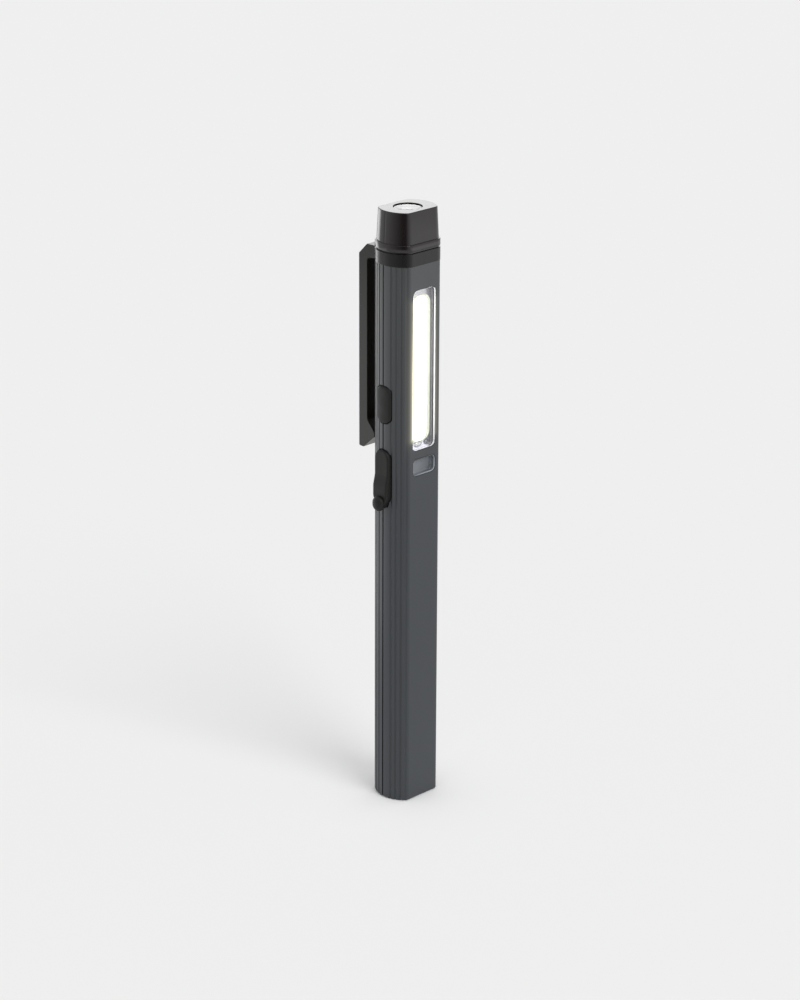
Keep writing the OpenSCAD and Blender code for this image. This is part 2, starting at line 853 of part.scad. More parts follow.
// Soft crowned cap of the button
module button_crown() {
    translate([0, 0, btn_z]) intersection() {
        translate([0, seam_y, 0]) side_prism(-half_reach, 1.2 - body_r, btn_w, btn_len, btn_r);
        translate([0, 0, -btn_len]) linear_extrude(2 * btn_len) polygon(crown_section());
        rotate_extrude() polygon(crown_profile());
    }
}

module power_button() {
    color([0.17, 0.18, 0.18])
    union() {
        button_crown();
        intersection() {
            translate([0, seam_y, btn_z])
                side_prism(0.9 - body_r, 0.6 - pcb_w / 2, btn_w, btn_len, btn_r);
            difference() {
                cylinder(r = half_reach, h = total_len);
                translate([0, 0, -1]) cylinder(r = body_r - wall - slack - 0.6, h = total_len + 2);
            }
        }
        button_flange();
        translate([0, seam_y, btn_z]) side_prism(-body_r + wall, boss_x, 2.6, 3.4, 0.6);
    }
}

boss_x = -body_r + wall + 1;
stem_w = 1.4;
stem_len = 2.4;

module switch_plunger() {
    color([0.9, 0.9, 0.86])
    translate([boss_x, seam_y - stem_w / 2, btn_z - stem_len / 2])
        cube([switch_x - boss_x + 0.6, stem_w, stem_len]);
}

module tact_switch() {
    color([0.2, 0.2, 0.21])
    difference() {
        translate([switch_x, seam_y - switch_t / 2, btn_z - switch_len / 2])
            cube([switch_deep, switch_t, switch_len]);
        translate([switch_x - 1, seam_y - stem_w / 2 - slack / 2, btn_z - stem_len / 2 - slack / 2])
            cube([2 + 0.6 + btn_travel, stem_w + slack, stem_len + slack]);
    }
}

flap_top = strap_z - hinge_gap;

// Half width of the cover at a height, as its outline has it
function cover_half(z) =
    z > port_z1 - cover_r ? port_w / 2 - cover_r + sqrt(pow(cover_r, 2) - pow(z - port_z1 + cover_r, 2))
    : z < port_z0 + foot_taper ? foot_half + (port_w / 2 - foot_half) * (z - port_z0) / foot_taper
    : port_w / 2;

// Drop of a rounded edge at a distance from it
function edge_drop(d) = d > cover_edge ? 0 : cover_edge - sqrt(pow(cover_edge, 2) - pow(cover_edge - d, 2));

// How far the cover stands out at a height: it leans out over its lower half
function cover_out(z) =
    let (lean = min(1, max(0, 1 - (z - port_z0 - lean_rise) / lean_run)))
    cover_top + (cover_foot - cover_top) * lean - edge_drop(port_z1 - z) - edge_drop(z - port_z0);

// Section of the cover at a height, from a plane inside the case out to its rounded edges
function cover_ring(z, inner) =
    let (h = cover_half(z), e = min(cover_edge, 0.8 * h), x = -body_r - cover_out(z))
    concat(
        [[inner, seam_y + h, z]],
        [for (a = [0:22.5:90]) [x + e * (1 - sin(a)), seam_y + h - e * (1 - cos(a)), z]],
        [for (a = [90:-22.5:0]) [x + e * (1 - sin(a)), seam_y - h + e * (1 - cos(a)), z]],
        [[inner, seam_y - h, z]]
    );

strap_zs = [for (a = [0:11.25:90]) port_z1 - strap_len * (1 - sin(a))];
flap_zs = concat(
    [for (a = [0:22.5:90]) port_z0 + cover_edge * (1 - cos(a))],
    [port_z0 + foot_taper, port_z0 + lean_rise, port_z0 + lean_rise + lean_run, flap_top]
);
knob_crown = 1.3;

// Rubber flap over the socket, with its pull knob and the plug that fills the socket's mouth
module port_cover() {
    knob_r = knob_w / 2;
    knob_z = port_z0 + 1;
    knob_x = knob_crown - body_r - cover_foot - knob_out;
    color([0.17, 0.18, 0.18])
    union() {
        skin([for (z = flap_zs) cover_ring(z, flap_x)]);
        intersection() {
            hull()
                for (z = [-1, 1])
                    translate([knob_x, seam_y, knob_z + z * (knob_len - knob_w) / 2])
                        scale([knob_crown / knob_r, 1, 1]) sphere(r = knob_r, $fn = 32);
            translate([-half_reach, -half_reach, 0])
                cube([half_reach - body_r - slack, 2 * half_reach, total_len]);
        }
        translate([0, seam_y, port_z])
            side_prism(flap_x - 0.2, pocket_x + 0.4, usb_t - 1.1, usb_w - 1.1, usb_t / 2 - 0.6);
    }
}

// Fixed end of the same rubber moulding, pegged through the wall behind it
module port_cover_strap() {
    color([0.17, 0.18, 0.18])
    union() {
        skin([for (z = strap_zs) cover_ring(z, pocket_x)]);
        translate([pocket_x - 0.2, seam_y, peg_z]) rotate([0, 90, 0])
            cylinder(d = peg_d, h = frame_in_x - pocket_x + 0.3, $fn = 32);
        translate([frame_in_x + 0.02, seam_y, peg_z]) rotate([0, 90, 0])
            cylinder(d1 = peg_d + 0.5, d2 = peg_d, h = 0.5, $fn = 32);
    }
}

usb_shell_t = 0.3;

module usb_socket() {
    color([0.78, 0.78, 0.8])
    translate([0, seam_y, port_z]) difference() {
        side_prism(pocket_x, pocket_x + usb_deep, usb_t, usb_w, usb_t / 2 - 0.05);
        side_prism(pocket_x - 1, pocket_x + usb_deep - 0.6, usb_t - 2 * usb_shell_t,
            usb_w - 2 * usb_shell_t, usb_t / 2 - usb_shell_t - 0.05);
    }
}

module usb_tongue() {
    color([0.12, 0.12, 0.12])
    translate([0, seam_y, port_z])
        side_prism(pocket_x + 0.9, pocket_x + usb_deep - 0.6, 0.7, usb_w - 2.3, 0.2);
}

module main_pcb() {
    color([0.1, 0.35, 0.2])
    difference() {
        translate([-pcb_w / 2, pcb_y0, pcb_z0]) cube([pcb_w, pcb_t, pcb_z1 - pcb_z0]);
        translate([-pcb_w / 2 - 1, pcb_y0 - 1, btn_z - btn_len / 2 - flange_out - 0.6])
            cube([pcb_notch + 1, pcb_t + 2, btn_len + 2 * flange_out + 1.2]);
        for (z = screw_zs)
            translate([0, pcb_y0 - 1, z]) rotate([-90, 0, 0])
                cylinder(d = screw_d + 2 * fit, h = pcb_t + 2, $fn = 32);
    }
}

// Box on the board's front or back, given as middle x, middle z, width, length and height
module part_on(side, x, z, w, len, h) {
    translate([x - w / 2, side < 0 ? pcb_y0 - h : pcb_y1, z - len / 2]) cube([w, h, len]);
}

// Sizes and places of the parts on the board
charger_side = 4;
charger_t = 1.2;
charger_z = (screw_zs[0] + head_d / 2 + port_z - usb_w / 2) / 2;
coil_w = 3;
coil_len = 4.2;
coil_t = 1.3;
coil_x = 2.6;
driver_side = 3.6;
driver_t = 1.4;
driver_x = 1.5;
driver_rise = 7;
logic_side = 3;
logic_t = 0.9;
logic_x = -2;
cap_w = 0.7;
cap_len = 1.4;
cap_t = 0.7;
cap_pitch = 1.2;
cap_x = -1.8;

module pcb_components() {
    color([0.12, 0.12, 0.13]) {
        part_on(-1, 0, charger_z, charger_side, charger_side, charger_t);
        part_on(-1, coil_x, btn_z + coil_len / 2, coil_w, coil_len, coil_t);
        part_on(1, logic_x, btn_z, logic_side, logic_side, logic_t);
        part_on(1, driver_x, btn_z + driver_rise, driver_side, driver_side, driver_t);
    }
    color([0.7, 0.65, 0.55])
    for (k = [0:3])
        part_on(1, cap_x + k * cap_pitch, charger_z, cap_w, cap_len, cap_t);
}

module pcb_screws() {
    color([0.7, 0.7, 0.72])
    for (z = screw_zs)
        translate([0, pcb_y0, z]) rotate([90, 0, 0]) difference() {
            union() {
                cylinder(d = head_d, h = head_h, $fn = 32);
                translate([0, 0, head_sunk - pcb_t - pilot_deep])
                    cylinder(d = screw_d, h = pcb_t + pilot_deep, $fn = 32);
            }
            for (turn = [0, 90])
                rotate(turn) translate([-slot_len / 2, -slot_w / 2, head_h - slot_deep])
                    cube([slot_len, slot_w, slot_deep + 1]);
        }
}

module battery_cell() {
    color([0.25, 0.45, 0.75])
    translate([0, 0, cell_z]) rotate_extrude()
        polygon([
            [0, 0], [cell_d / 2 - 0.4, 0], [cell_d / 2, 0.4], [cell_d / 2, cell_len - 0.4],
            [cell_d / 2 - 0.4, cell_len], [0, cell_len]
        ]);
}

module battery_tabs() {
    color([0.75, 0.74, 0.7])
    for (z = [cell_z - tab_t, cell_z + cell_len])
        translate([-cell_d / 2 + 0.8, -tab_w / 2, z]) cube([cell_d - 1.6, tab_w, tab_t]);
}

side_x = (cell_d / 2 + body_r - wall) / 2;
lead_x = 3;
bend = (side_x - lead_x) / 2;
tab_top = cell_z + cell_len + tab_t;

positive_route = [
    [-2, 0, tab_top], [-2, 0, tab_top + 1.4], [-2.2, 0.2, tab_top + 2.8], [-2.7, pad_y / 2, tab_top + 4.4],
    [-3.2, pad_y - 0.3, tab_top + 5.8], [-3.4, pad_y, tab_top + 7.4], [-3.4, pad_y, tab_top + 11]
];

module battery_lead_positive() {
    color([0.75, 0.1, 0.1]) tube(positive_route, wire_d, [0, 1, 0]);
}

negative_route = concat(
    [[lead_x, 0, cell_z - tab_t], [lead_x, 0, cell_z - 1.2]],
    [for (a = [180:30:360]) [lead_x + bend + bend * cos(a), 0, cell_z - 1.8 + bend * sin(a)]],
    [for (k = [0.1:0.1:1]) [side_x, 0, cell_z + k * (cell_len + 1)]],
    [
        [side_x - 0.4, 0.2, tab_top + 2.8], [side_x - 1.2, pad_y / 2, tab_top + 4.6],
        [side_x - 1.9, pad_y - 0.2, tab_top + 6.2], [4.1, pad_y, tab_top + 8], [4.1, pad_y, tab_top + 11]
    ]
);

module battery_lead_negative() {
    color([0.1, 0.1, 0.1]) tube(negative_route, wire_d, [0, 1, 0]);
}

front_shell();
rear_shell();
clip_collar();
pocket_clip();
head_cap();
torch_lens();
torch_reflector();
torch_led_board();
torch_led();
torch_leads();
light_window();
cob_reflector();
cob_substrate();
cob_dam();
cob_phosphor();
cob_solder_joints();
cob_leads();
indicator_window();
indicator_leds();
power_button();
switch_plunger();
tact_switch();
port_cover();
port_cover_strap();
usb_socket();
usb_tongue();
main_pcb();
pcb_components();
pcb_screws();
battery_cell();
battery_tabs();
battery_lead_positive();
battery_lead_negative();
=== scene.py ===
"""The looks of the penlight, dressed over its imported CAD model."""
import json
import math

import bmesh
import bpy
from mathutils import Matrix, Vector


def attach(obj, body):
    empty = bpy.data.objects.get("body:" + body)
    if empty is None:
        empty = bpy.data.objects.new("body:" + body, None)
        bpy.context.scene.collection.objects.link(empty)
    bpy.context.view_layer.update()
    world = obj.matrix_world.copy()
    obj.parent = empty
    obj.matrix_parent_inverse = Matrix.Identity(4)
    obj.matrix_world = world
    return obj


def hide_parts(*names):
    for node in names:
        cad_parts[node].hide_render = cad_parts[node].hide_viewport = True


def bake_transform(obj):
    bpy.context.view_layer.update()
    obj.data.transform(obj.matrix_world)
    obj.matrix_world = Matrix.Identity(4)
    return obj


MM = 0.001

# Camera, fitted to the outlines in the photograph (800 x 1000 pixels)
FOCAL_PX = 3019.2
LONG_SIDE_PX = 1000.0
SENSOR_MM = 36.0
AZIMUTH = -45.831
PITCH = 19.867
ROLL = 0.212
DISTANCE = 0.82941
AIM_RIGHT = -0.00178
AIM_HEIGHT = 0.087058

# Colour of the floor and of what lies behind it, as a linear value
BACKGROUND = (0.855, 0.855, 0.855, 1.0)

# Case, in millimetres: the same values as the CAD source has
BODY_R = 8.7
HALF_D = 6.5
SEAM_Y = 0.5

# Least corner radius of an inset section
LEAST_CORNER = 0.25

# Flutes of the round sides: where the painted shade in them starts and ends below the surface, and how far
# round they go
FLUTE_TOP = 0.02
FLUTE_LOW = 0.18
FLUTE_Y0 = 5.4
FLUTE_Y1 = 5.6

# Head; its flange stays just inside the step of 0.1 that the CAD source gives it, and the line down
# each side of its cap is a shallow groove
HEAD_CORNER = 2.6
COLLAR_Z1 = 158.9
FLANGE_Z = 159.4
FLANGE_EDGE = 0.12
CAP_Z = 161.3
CAP_EDGE = 0.25
CAP_LINE_W = 0.28
CAP_LINE_DEEP = 0.04
TOP_Z = 170.0
RING_STEP = 0.095
HEAD_STEP = 0.42
HEAD_TAPER = 0.42
NECK_INSET = 1.52
RECESS_R = 3.95
RECESS_EDGE = 0.08
RECESS_DEEP = 0.6
LENS_GAP = 0.08
LENS_T = 1.4
LENS_DOME = 0.15
LENS_FLUSH = 0.12

# Windows in the front face, with the eased edge of a pane as depth and inset
FRONT_Y = -6.5
FACE_SUNK = 0.08
RIM_Y0 = -5.2
RIM_Y1 = -4.6
WIN_R = 1.5
PANE_EDGE = ((0.0, 0.16), (0.0, 0.12), (0.02, 0.06), (0.06, 0.02), (0.12, 0.0))
WIN = {"x": 0.0, "z": 126.05, "w": 8.8, "len": 45.1, "rim": 0.55}
IND = {"x": 0.0, "z": 98.75, "w": 9.0, "len": 5.1, "rim": 0.45}
TRAY_DEEP = 1.2
TRAY_LIP = 0.45
TRAY_EDGE = 0.14
PIPE = {"x": 2.745, "w": 1.6, "y1": -0.7, "short": 0.8, "r": 0.2}

# What shows behind the long window: the lit strip, the solder joints, and where the painted shade on the
# white surfaces starts and ends
STRIP_W = 5.2
JOINT_Z = 104.5
DIM_X0 = 2.3
DIM_X1 = 3.5

# Painted glow on the case for the strip light's spill: its two reaches, the dark stretch at each end of the
# window, its strength low and high up, the depth at which the front face starts, and its share on the
# window's right
SPILL_NEAR = 0.42
SPILL_FAR = 1.8
SPILL_FAR_SHARE = 0.05
SPILL_END = 3.5
SPILL_FULL_Z = 125
SPILL_WEAK_Z = 142
SPILL_FULL = 1.1
SPILL_WEAK = 0.4
SPILL_Y0 = -5.0
SPILL_Y1 = -6.0
SPILL_SIDE_X = 1.0
SPILL_RIGHT = 0.15

# Faint painted glow on the whole upper case, from none to full
UPPER_Z0 = 90
UPPER_Z1 = 150
UPPER_GLOW = 0.011

# Button: where its root lies, its rounded edge as inset and drop, and the insets of the rings of its face
BTN_Z = 116.5
BTN_W = 5.6
BTN_LEN = 10.4
BTN_R = 2.2
BTN_PROUD = 0.4
BTN_ROOTS = (-6.4, -7.6)
BTN_EDGE = ((0.0, 0.62), (0.02, 0.44), (0.08, 0.28), (0.2, 0.14), (0.4, 0.05), (0.7, 0.01))
BTN_FACE = (1.1, 1.5, 1.9, 2.3, 2.6)
BTN_LEAST_R = 0.15

# Charging cover
PORT_Z0 = 87.6
PORT_Z1 = 103.7
PORT_W = 5.3
COVER_TOP = 0.8
COVER_FOOT = 1.5
COVER_EDGE = 0.6
COVER_R = 2.5
FOOT_HALF = 1.5
FOOT_TAPER = 3.0
LEAN_RISE = 5.4
LEAN_RUN = 4.0
COVER_STEP = 0.4
COVER_END = 0.002
POCKET_X = -7.0

# Plug on the back of the cover, with its length along X as place and inset
SOCKET_DROP = 8.5
PLUG_W = 2.1
PLUG_LEN = 7.84
PLUG_SIDE = ((-0.3, 0.0), (0.3, 0.0), (0.37, 0.03), (0.4, 0.1))

# Knob, with its stem as place along X and share of the full size
KNOB_X = -10.5
KNOB_Z = 88.6
KNOB_LEN = 4.3
KNOB_W = 3.8
KNOB_CROWN = 1.3
KNOB_STEM = ((1.25, 0.86), (1.0, 0.84), (0.6, 0.9), (0.3, 0.97), (0.0, 1.0))
KNOB_TURNS = (12, 25, 38, 50, 62, 74, 84)

# Black card that only reflections see: distance and heights in metres, and azimuths from the camera's
FLAG_AWAY = 0.52
FLAG_Z0 = 0.0005
FLAG_Z1 = 0.5
FLAG_LEFT = -78.0
FLAG_BLACK0 = -18.0
FLAG_BLACK1 = 0.0
FLAG_RIGHT = 46.0

# Light: strength of the even light, and the sun's strength, softness and place round and above the camera's
AMBIENT = 0.8
SUN_STRENGTH = 0.95
SUN_SOFTNESS = 32
SUN_AROUND = 40
SUN_UP = 44

# Depths of fine relief, in metres
FINE = 0.01 * MM
SPARK = 0.02 * MM
COARSE = 0.03 * MM

# Radius that softens moulded edges, in millimetres
MOULDED_EDGE = 0.15

# Places of a mix node's two colour inputs and of its colour output
COLOUR_A = 6
COLOUR_B = 7
MIXED_COLOUR = 2

# Nodes whose finish isn't their slot's
# The reflector's own finish is white plastic with painted glow and painted shade from the strip.
OWN_FINISH = {"clip_collar": "collar_black", "cob_reflector": "frame_painted_light"}


def linear(r, g, b):
    """Linear colour of an 8-bit display colour."""
    def one(v):
        v = v / 255.0
        return v / 12.92 if v <= 0.04045 else ((v + 0.055) / 1.055) ** 2.4
    return (one(r), one(g), one(b), 1.0)


def scaled(colour, factor, lift=0.0):
    """A colour made lighter or darker by a factor, and lifted by a little grey."""
    return tuple(min(1.0, c * factor + lift) for c in colour[:3]) + (1.0,)


def toward(azimuth, elevation):
    """Unit vector from the object towards a place at this azimuth and elevation, 0 being -Y."""
    a, e = math.radians(azimuth), math.radians(elevation)
    return Vector((math.sin(a) * math.cos(e), -math.cos(a) * math.cos(e), math.sin(e)))


def make_camera():
    """Camera at the place and angle that the photograph was taken from."""
    back = toward(AZIMUTH, PITCH)
    a = math.radians(AZIMUTH)
    right = Vector((math.cos(a), math.sin(a), 0.0))
    place = right * AIM_RIGHT + Vector((0, 0, AIM_HEIGHT)) + back * DISTANCE
    up = back.cross(right)
    turn = Matrix((right, up, back)).transposed().to_4x4()
    cam = bpy.data.objects.new("camera", bpy.data.cameras.new("camera"))
    cam.data.sensor_width = SENSOR_MM
    cam.data.lens = FOCAL_PX * SENSOR_MM / LONG_SIDE_PX
    cam.data.clip_start = 0.01
    cam.data.clip_end = 50
    cam.matrix_world = Matrix.Translation(place) @ turn @ Matrix.Rotation(math.radians(ROLL), 4, "Z")
    bpy.context.scene.collection.objects.link(cam)
    bpy.context.scene.camera = cam


class Mat:
    """A node material under construction: makes nodes, sets their values and links them."""

    def __init__(self, name):
        self.material = bpy.data.materials.new(name)
        self.material.use_nodes = True
        self.tree = self.material.node_tree
        self.tree.nodes.clear()
        self.out = self.tree.nodes.new("ShaderNodeOutputMaterial")
        self.where = self.node("ShaderNodeTexCoord").outputs["Object"]

    def node(self, kind, props=None, **inputs):
        """New node with these properties, its inputs set or linked by name."""
        n = self.tree.nodes.new(kind)
        for key, value in (props or {}).items():
            setattr(n, key, value)
        for key, value in inputs.items():
            self.put(n.inputs[key.replace("_", " ")], value)
        return n

    def put(self, socket, value):
        """Links an output to a socket, or sets the socket's own value."""
        if isinstance(value, bpy.types.NodeSocket):
            self.tree.links.new(value, socket)
        else:
            socket.default_value = value

    def stretched(self, x, y, z):
        """Object coordinates scaled by axis, which draws a texture out along the axis with the least."""
        n = self.node("ShaderNodeMapping", Vector=self.where)
        n.inputs["Scale"].default_value = (x, y, z)
        return n.outputs["Vector"]

    def noise(self, scale, detail, rough, vector=None):
        """Cloudy noise, finer with a larger scale."""
        n = self.node("ShaderNodeTexNoise", Scale=scale, Detail=detail, Roughness=rough,
                      Vector=vector or self.where)
        return n.outputs["Fac"]

    def cells(self, scale):
        """Distance from the middle of the nearest of many scattered cells."""
        n = self.node("ShaderNodeTexVoronoi", Scale=scale, Vector=self.where)
        return n.outputs["Distance"]

    def span(self, value, low, high, to_low=0.0, to_high=1.0):
        """The stretch from low to high laid over another one, and held at its ends."""
        n = self.node("ShaderNodeMapRange", Value=value, From_Min=low, From_Max=high,
                      To_Min=to_low, To_Max=to_high)
        return n.outputs["Result"]

    def math(self, op, a, b=0.0):
        """One sum on outputs or numbers."""
        n = self.node("ShaderNodeMath", {"operation": op})
        self.put(n.inputs[0], a)
        self.put(n.inputs[1], b)
        return n.outputs[0]

    def blend(self, fac, a, b):
        """Colour a share fac of the way from a to b."""
        n = self.node("ShaderNodeMix", {"data_type": "RGBA"})
        self.put(n.inputs["Factor"], fac)
        self.put(n.inputs[COLOUR_A], a)
        self.put(n.inputs[COLOUR_B], b)
        return n.outputs[MIXED_COLOUR]

    def bump(self, height, strength, distance, normal=None):
        """Normal raised by a height, on top of another normal where there is one."""
        n = self.node("ShaderNodeBump", Height=height, Strength=strength, Distance=distance)
        if normal is not None:
            self.put(n.inputs["Normal"], normal)
        return n.outputs["Normal"]

    def rounded(self, radius):
        """Normal that rounds sharp edges, and how much of an edge there is at the point."""
        bevel = self.node("ShaderNodeBevel", {"samples": 6}, Radius=radius).outputs["Normal"]
        flat = self.node("ShaderNodeNewGeometry").outputs["Normal"]
        dot = self.node("ShaderNodeVectorMath", {"operation": "DOT_PRODUCT"})
        self.put(dot.inputs[0], bevel)
        self.put(dot.inputs[1], flat)
        edge = self.span(dot.outputs["Value"], 0.999, 0.9)
        return bevel, edge

    def surface(self, lamps_pass=False, **inputs):
        """Ends the material in a principled shader, which casts no shadow where lamps pass."""
        shader = self.node("ShaderNodeBsdfPrincipled", **inputs)
        if lamps_pass:
            path = self.node("ShaderNodeLightPath")
            return self.mixed(path.outputs["Is Shadow Ray"], shader, self.node("ShaderNodeBsdfTransparent"))
        self.put(self.out.inputs["Surface"], shader.outputs[0])
        return self.material

    def mixed(self, share, first, second):
        """Ends the material in a mix of two shaders."""
        pick = self.node("ShaderNodeMixShader")
        self.put(pick.inputs[0], share)
        self.put(pick.inputs[1], first.outputs[0])
        self.put(pick.inputs[2], second.outputs[0])
        self.put(self.out.inputs["Surface"], pick.outputs[0])
        return self.material


def moulded_skin(m, tint, rough, grain, worn, edge):
    """Colour, roughness and normal of moulded plastic: spark texture, faint flow, edges rubbed brighter."""
    normal, edges = m.rounded(edge * MM)
    flow = m.noise(60.0, detail=3.0, rough=0.6, vector=m.stretched(1.0, 1.0, 0.25))
    spark = m.noise(5200.0, detail=2.0, rough=0.5)
    scuffs = m.noise(900.0, detail=6.0, rough=0.75, vector=m.stretched(1.0, 1.0, 0.12))
    base = m.blend(m.span(flow, 0.3, 0.7), scaled(tint, 0.94), scaled(tint, 1.06))
    wear = m.math("MULTIPLY", edges, m.span(scuffs, 0.42, 0.7, 0.0, worn))
    colour = m.blend(wear, base, scaled(tint, 1.6, 0.012))
    roughness = m.span(scuffs, 0.3, 0.75, rough - 0.04, rough + 0.06)
    return colour, roughness, m.bump(spark, grain, SPARK, normal)


def moulded_plastic(name, tint, rough, grain=0.25, worn=0.35, edge=MOULDED_EDGE, ior=1.5, glow=0.0):
    """Plain moulded plastic, which can glow a little in its own colour."""
    m = Mat(name)
    colour, roughness, bumped = moulded_skin(m, tint, rough, grain, worn, edge)
    return m.surface(Base_Color=colour, Roughness=roughness, Normal=bumped, IOR=ior,
                     Emission_Color=tint, Emission_Strength=glow)


def beyond(m, coordinate, centre, half):
    """How far a coordinate lies outside a stretch, and nothing inside it."""
    off = m.math("ABSOLUTE", m.math("SUBTRACT", coordinate, centre * MM))
    return m.math("MAXIMUM", m.math("SUBTRACT", off, half * MM), 0.0)


def length_of(m, a, b):
    """Length of a flat vector from its two parts."""
    return m.math("SQRT", m.math("ADD", m.math("MULTIPLY", a, a), m.math("MULTIPLY", b, b)))


def fading(m, away, reach):
    """1 at no distance, falling off exponentially over a reach in millimetres."""
    return m.math("EXPONENT", m.math("DIVIDE", away, -reach * MM))


def painted_spill_glow(m):
    """Strength of the painted glow for the strip light's spill: falls off with the distance from its window,
    with a faint painted glow on the whole upper case.
    """
    xyz = m.node("ShaderNodeSeparateXYZ", Vector=m.where)
    x, y, z = (xyz.outputs[axis] for axis in "XYZ")
    across = beyond(m, x, WIN["x"], WIN["w"] / 2)
    along = beyond(m, z, WIN["z"], WIN["len"] / 2 - SPILL_END)
    away = length_of(m, across, along)
    level = m.span(z, SPILL_WEAK_Z * MM, SPILL_FULL_Z * MM, SPILL_WEAK, SPILL_FULL)
    near = m.math("MULTIPLY", fading(m, away, SPILL_NEAR), level)
    total = m.math("ADD", near, m.math("MULTIPLY", fading(m, away, SPILL_FAR), SPILL_FAR_SHARE))
    front = m.span(y, SPILL_Y0 * MM, SPILL_Y1 * MM)
    left = m.span(x, -SPILL_SIDE_X * MM, SPILL_SIDE_X * MM, 1.0, SPILL_RIGHT)
    upper = m.span(z, UPPER_Z0 * MM, UPPER_Z1 * MM, 0.0, UPPER_GLOW)
    return m.math("ADD", m.math("MULTIPLY", total, m.math("MULTIPLY", front, left)), upper)


def painted_flute_shade(m):
    """How deep a point lies in a flute of the round sides, from 0 to 1, for the painted shade in the flutes.
    """
    xyz = m.node("ShaderNodeSeparateXYZ", Vector=m.where)
    radius = length_of(m, xyz.outputs["X"], xyz.outputs["Y"])
    deep = m.span(radius, (BODY_R - FLUTE_TOP) * MM, (BODY_R - FLUTE_LOW) * MM)
    side = m.span(m.math("ABSOLUTE", xyz.outputs["Y"]), FLUTE_Y0 * MM, FLUTE_Y1 * MM, 1.0, 0.0)
    return m.math("MULTIPLY", deep, side)


def case_plastic(name, tint, rough):
    """The case's satin plastic, with painted shade in its flutes and a painted glow for the strip light's
    spill on it.
    """
    flute_shade_share = 0.4
    m = Mat(name)
    colour, roughness, bumped = moulded_skin(m, tint, rough, grain=0.25, worn=0.35, edge=MOULDED_EDGE)
    # Painted shade: the flutes are darkened by how deep a point lies in them.
    colour = m.blend(m.math("MULTIPLY", painted_flute_shade(m), flute_shade_share), colour, scaled(tint, 0.3))
    # The emission is painted glow that stands in for the strip light's spill.
    return m.surface(Base_Color=colour, Roughness=roughness, Normal=bumped,
                     Emission_Color=(1.0, 0.94, 0.66, 1.0), Emission_Strength=painted_spill_glow(m))


def rubber(name, tint):
    """Matt silicone rubber: fine pebbled skin with dust in its low places, and a painted highlight along its
    edges.
    """
    m = Mat(name)
    normal, edges = m.rounded(MOULDED_EDGE * MM)
    pebbles = m.cells(3600.0)
    dust = m.noise(420.0, detail=6.0, rough=0.7)
    colour = m.blend(m.span(dust, 0.45, 0.75, 0.0, 0.7), tint, scaled(tint, 1.5, 0.004))
    # Painted highlight: the edges are painted lighter.
    lit = m.blend(m.math("MULTIPLY", edges, 0.3), colour, scaled(tint, 2.0, 0.01))
    roughness = m.span(dust, 0.3, 0.7, 0.5, 0.66)
    bumped = m.bump(pebbles, 0.3, COARSE, normal)
    return m.surface(Base_Color=lit, Roughness=roughness, Normal=bumped, IOR=1.38)


def clear_plastic(name, tint, rough):
    """Clear moulding: near-perfect gloss with faint moulding waves and fine hairline scratches."""
    m = Mat(name)
    waves = m.noise(240.0, detail=2.0, rough=0.4)
    hair = m.noise(2600.0, detail=5.0, rough=0.8, vector=m.stretched(1.0, 1.0, 0.05))
    roughness = m.span(hair, 0.55, 0.8, rough, rough + 0.04)
    bumped = m.bump(waves, 0.1, FINE)
    return m.surface(lamps_pass=True, Base_Color=tint, Roughness=roughness, Normal=bumped,
                     Transmission_Weight=1.0, IOR=1.49)


def frosted_edge(name, glow):
    """Cut edge of a clear moulding with a painted glow for the light that it carries out, less at its unlit
    foot.
    """
    foot_z, lit_z, foot_share = 104, 109, 0.1
    m = Mat(name)
    streaks = m.noise(1800.0, detail=4.0, rough=0.7, vector=m.stretched(1.0, 1.0, 0.06))
    colour = m.blend(m.span(streaks, 0.35, 0.65), (0.95, 0.95, 0.97, 1), (0.78, 0.79, 0.82, 1))
    xyz = m.node("ShaderNodeSeparateXYZ", Vector=m.where)
    strength = m.span(xyz.outputs["Z"], foot_z * MM, lit_z * MM, foot_share * glow, glow)
    return m.surface(Base_Color=colour, Roughness=m.span(streaks, 0.3, 0.7, 0.3, 0.5),
                     Normal=m.bump(streaks, 0.1, FINE),
                     Emission_Color=(1.0, 1.0, 1.0, 1.0), Emission_Strength=strength)


def smoky_pane(name, tint, dark, glow=0.0):
    """Smoky diffusing pane: cloudy tint under a glossy skin, with painted shade that darkens it away from
    where its light comes in.
    A rim has a painted glow towards its lower right, and a floor has painted shade only towards its right."""
    slant, glow_end = 0.6, 2.4
    rim_pale, rim_dark = 0.8, -1.0
    floor_pale, floor_dark = -3.6, 2.4
    m = Mat(name)
    xyz = m.node("ShaderNodeSeparateXYZ", Vector=m.where)
    # Painted glow and painted shade on a rim; painted shade only on a floor.
    if glow:
        fall = m.math("SUBTRACT", m.math("MULTIPLY", xyz.outputs["X"], slant),
                      m.math("SUBTRACT", xyz.outputs["Z"], IND["z"] * MM))
        lit = m.span(fall, 0.0, glow_end * MM, 0.0, glow)
        shade = m.span(fall, rim_pale * MM, rim_dark * MM)
    else:
        lit = 0.0
        shade = m.span(xyz.outputs["X"], floor_pale * MM, floor_dark * MM)
    cloud = m.noise(330.0, detail=3.0, rough=0.5)
    hair = m.noise(2400.0, detail=4.0, rough=0.7, vector=m.stretched(1.0, 1.0, 0.1))
    colour = m.blend(m.span(cloud, 0.3, 0.7), scaled(tint, 0.92), scaled(tint, 1.1))
    colour = m.blend(shade, colour, dark)
    return m.surface(Base_Color=colour, Roughness=m.span(hair, 0.4, 0.75, 0.1, 0.2),
                     Normal=m.bump(hair, 0.08, FINE), IOR=1.5, Transmission_Weight=0.2,
                     Emission_Color=(0.9, 0.95, 1.0, 1.0), Emission_Strength=lit)


